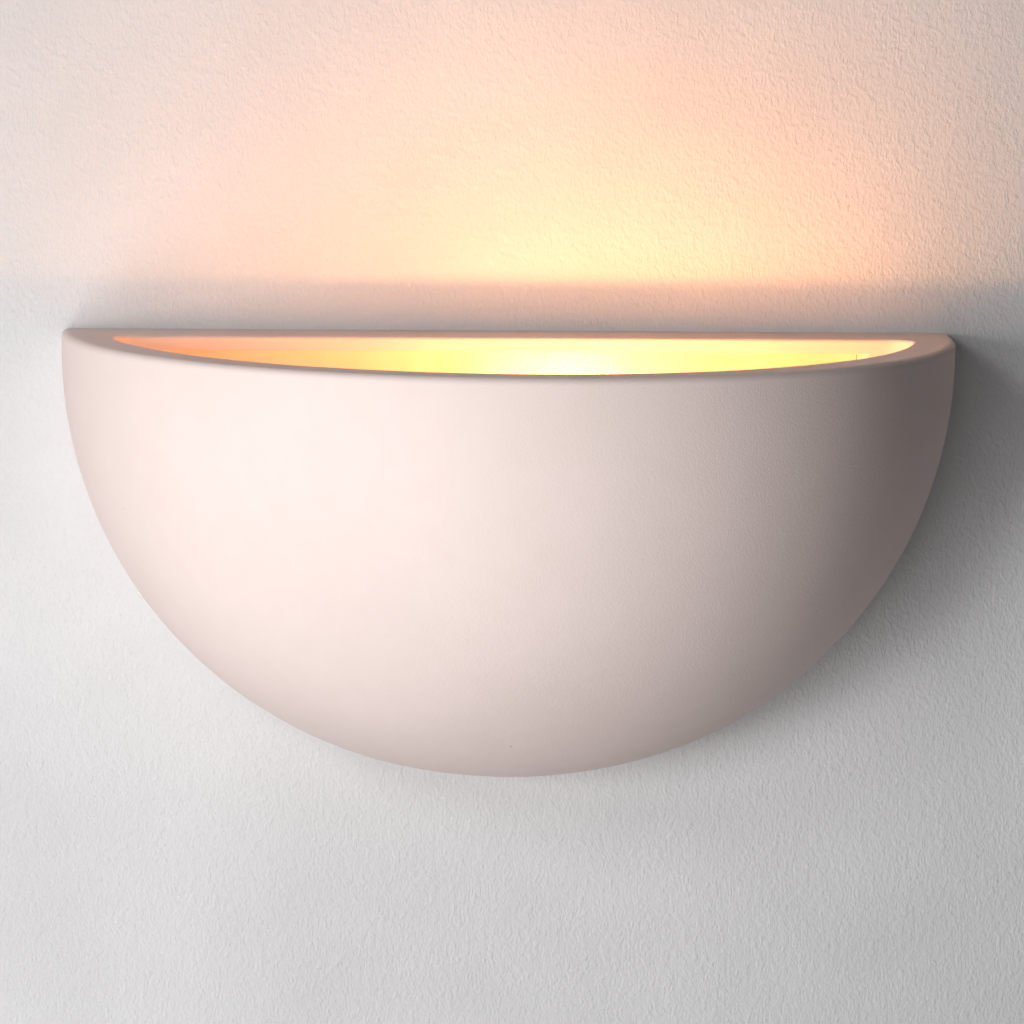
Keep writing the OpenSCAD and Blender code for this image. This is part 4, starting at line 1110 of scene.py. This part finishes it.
def backdrop_material(name, tone, patch=False):
    """Painted roughcast that is seen only from the room's side."""
    material, tree, shader, place = surface(name, {"IOR": 1.45, "Roughness": 0.8})
    tinted(tree, shader.inputs["Base Color"], (*tone, 1.0),
           (cloudy(tree, place, 90.0), opaque("#DDDCDD")))
    # a worm-like grain about a millimetre wide, drawn out along the way the paint was brushed
    drag = add(tree, "ShaderNodeMapping", None, {
        "Vector": place, "Rotation": (0, math.radians(-20), 0), "Scale": (1.0, 1.0, 0.5)})
    below = relief(tree, shader, cloudy(tree, drag, 0.75, 2.0), 0.09)
    relief(tree, shader, cloudy(tree, place, 2.6, 2.0, 0.45, 0.75), 0.12, below)
    clear = add(tree, "ShaderNodeBsdfTransparent")
    seen = add(tree, "ShaderNodeNewGeometry").outputs["Backfacing"]
    if patch:
        path = add(tree, "ShaderNodeLightPath").outputs["Is Camera Ray"]
        seen = add(tree, MATH, "MAXIMUM", (seen, add(tree, MATH, "SUBTRACT", (1.0, path))))
    mixed = add(tree, "ShaderNodeMixShader", None, (seen, shader, clear))
    output = next(n for n in tree.nodes if n.type == "OUTPUT_MATERIAL")
    tree.links.new(mixed.outputs["Shader"], output.inputs["Surface"])
    return material


def backdrop(settings, bowl_settings):
    """The wall, in two faces: a patch behind the shade and the rest around it."""
    half_w, top, bottom = 2.2, 1.6, FLOOR
    gap = 0.4 * MM
    edge = [(r, z) for r, z in bowl_section(bowl_settings, True) if z < RIM - MM]
    edge.append((SHADE_HIGH.x, RIM))
    ring = [(-r, z) for r, z in reversed(edge[1:])] + edge
    work = bmesh.new()
    inner = [work.verts.new((x, gap, z)) for x, z in ring]
    corners = [work.verts.new((x, gap, z)) for x, z in
               ((-half_w, top), (-half_w, bottom), (half_w, bottom), (half_w, top))]
    patch = work.faces.new(inner)
    rest_low = work.faces.new(list(reversed(inner)) + corners)
    rest_top = work.faces.new([inner[0], inner[-1], corners[3], corners[0]])
    for face in (patch, rest_low, rest_top):
        face.normal_update()
        if face.normal.y > 0:
            face.normal_flip()
    patch.material_index = 1
    mesh = bpy.data.meshes.new("backdrop")
    work.to_mesh(mesh)
    work.free()
    mesh.materials.append(backdrop_material("painted_wall", settings.wall))
    mesh.materials.append(backdrop_material("painted_wall_behind_shade", settings.wall, True))
    link("backdrop", mesh)


# The room's light: its side and its height in degrees, its distance and its size in metres, and
# its share of the window's power.
ROOM_LIGHT = (
    ("window_low_pane", -35, 1, 1.3, (0.3, 0.36), 0.68),
    ("window_high_pane", -35, 22, 1.3, (0.3, 0.3), 0.3),
    ("pale_table", -35, -20, 0.7, (0.35, 0.35), 0.142),
    ("pale_room_side", -5, 0, 0.7, (0.35, 0.35), 0.072),
    ("behind", 170, 20, 0.9, (0.8, 0.8), 0.43),
)


def soft_light(name, side, height, distance, size, watts):
    """A rectangle of light around the shade's middle: degrees to the side and up, metres away."""
    light = bpy.data.lights.new(name, "AREA")
    light.shape = "RECTANGLE"
    light.size, light.size_y = size
    light.energy = watts
    a, e = math.radians(side), math.radians(height)
    ahead = Vector((math.sin(a) * math.cos(e), -math.cos(a) * math.cos(e), math.sin(e)))
    made = bpy.data.objects.new(name, light)
    made.location = ahead * distance
    target = Vector((0, 0, (SHADE_LOW.z + RIM) / 2))
    made.rotation_euler = (target - made.location).to_track_quat("-Z", "Y").to_euler()
    bpy.context.scene.collection.objects.link(made)
    return made


class WALLLIGHT_OT_stage(bpy.types.Operator):
    """Sets the wall, the floor, the light and the camera"""
    bl_idname = "walllight.stage"
    bl_label = "Stage"

    def execute(self, context):
        settings = context.scene.walllight_stage
        scene = context.scene
        backdrop(settings, scene.walllight_shade)
        floor = block("floor", (-4, -6, FLOOR - 0.02), (4, 4, FLOOR))
        floor_finish, tree, shader, place = surface("floor_paint", {"Roughness": 0.7})
        tinted(tree, shader.inputs["Base Color"], (*settings.floor, 1.0),
               (cloudy(tree, place, 300.0), opaque("#D8D6D3")))
        floor.data.materials.append(floor_finish)
        world = bpy.data.worlds.new("pale_room")
        world.use_nodes = True
        scene.world = world
        tree = world.node_tree
        tree.nodes.clear()
        seen = add(tree, "ShaderNodeLightPath").outputs["Is Camera Ray"]
        dim = add(tree, "ShaderNodeBackground", None, {"Color": opaque("#D9DDE3"), "Strength": 0.01})
        pale = add(tree, "ShaderNodeBackground", None, {"Color": opaque("#DCDCDC"), "Strength": 0.8})
        mixed = add(tree, "ShaderNodeMixShader", None, (seen, dim, pale))
        add(tree, "ShaderNodeOutputWorld", None, {"Surface": mixed})
        for name, side, height, distance, size, share in ROOM_LIGHT:
            soft_light(name, side, height, distance, size, settings.window_watts * share)
        lamp = bpy.data.lights.new("lamp_light", "POINT")
        lamp.energy = settings.lamp_watts
        lamp.color = settings.lamp_tone
        lamp.shadow_soft_size = 6 * MM
        bulb = bpy.data.objects.new("lamp_light", lamp)
        low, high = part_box("lamp_filament")
        bulb.location = (low + high) / 2
        scene.collection.objects.link(bulb)
        set_camera(scene)
        scene.view_settings.view_transform = "Standard"
        return {"FINISHED"}


def set_camera(scene):
    """The photographer's place: 1.5 m out, a little left of the light and a little above its rim."""
    place = (-0.1172, -1.5, 0.1858)
    yaw, pitch, roll = 0.0792, -0.1364, 0.0130
    data = bpy.data.cameras.new("camera")
    data.lens, data.sensor_width = 157.5, 36.0
    data.clip_start = 0.05
    camera = bpy.data.objects.new("camera", data)
    camera.location = place
    camera.rotation_mode = "XYZ"
    ahead = Vector((math.sin(yaw) * math.cos(pitch), math.cos(yaw) * math.cos(pitch), math.sin(pitch)))
    right = Vector((math.cos(yaw), -math.sin(yaw), 0))
    up = right.cross(ahead)
    tilted_right = math.cos(roll) * right + math.sin(roll) * up
    tilted_up = math.cos(roll) * up - math.sin(roll) * right
    turn = Matrix((tilted_right, tilted_up, -ahead)).transposed()
    camera.rotation_euler = turn.to_euler()
    scene.collection.objects.link(camera)
    scene.camera = camera


# ---------------------------------------------------------------- panel and registration

class WALLLIGHT_PT_panel(bpy.types.Panel):
    """Sizes, colours and steps of the wall light"""
    bl_label = "Wall light"
    bl_idname = "WALLLIGHT_PT_panel"
    bl_space_type = "VIEW_3D"
    bl_region_type = "UI"
    bl_category = "Wall light"

    def draw(self, context):
        for key, group, operators in STEPS:
            box = self.layout.box()
            for name in group.__annotations__:
                box.prop(getattr(context.scene, key), name)
            for operator in operators:
                box.operator(operator.bl_idname)


STEPS = (
    ("walllight_stage", StageSettings, (WALLLIGHT_OT_stage,)),
    ("walllight_shade", ShadeSettings, (WALLLIGHT_OT_shade,)),
    ("walllight_mounting", MountingSettings,
     (WALLLIGHT_OT_mounting, WALLLIGHT_OT_terminals, WALLLIGHT_OT_holder)),
    ("walllight_wiring", WiringSettings, (WALLLIGHT_OT_wires,)),
    ("walllight_lamp", LampSettings, (WALLLIGHT_OT_lamp,)),
)


def register():
    """Registers the classes and their settings."""
    for key, group, operators in STEPS:
        bpy.utils.register_class(group)
        setattr(bpy.types.Scene, key, bpy.props.PointerProperty(type=group))
        for operator in operators:
            bpy.utils.register_class(operator)
    bpy.utils.register_class(WALLLIGHT_PT_panel)


def unregister():
    """Takes the classes and their settings away again."""
    bpy.utils.unregister_class(WALLLIGHT_PT_panel)
    for key, group, operators in reversed(STEPS):
        for operator in operators:
            bpy.utils.unregister_class(operator)
        delattr(bpy.types.Scene, key)
        bpy.utils.unregister_class(group)


def main():
    """Builds the wall light step by step."""
    register()
    bpy.ops.walllight.stage()
    bpy.ops.walllight.shade()
    bpy.ops.walllight.mounting()
    bpy.ops.walllight.terminals()
    bpy.ops.walllight.holder()
    bpy.ops.walllight.wires()
    bpy.ops.walllight.lamp()


if __name__ == "__main__":
    main()
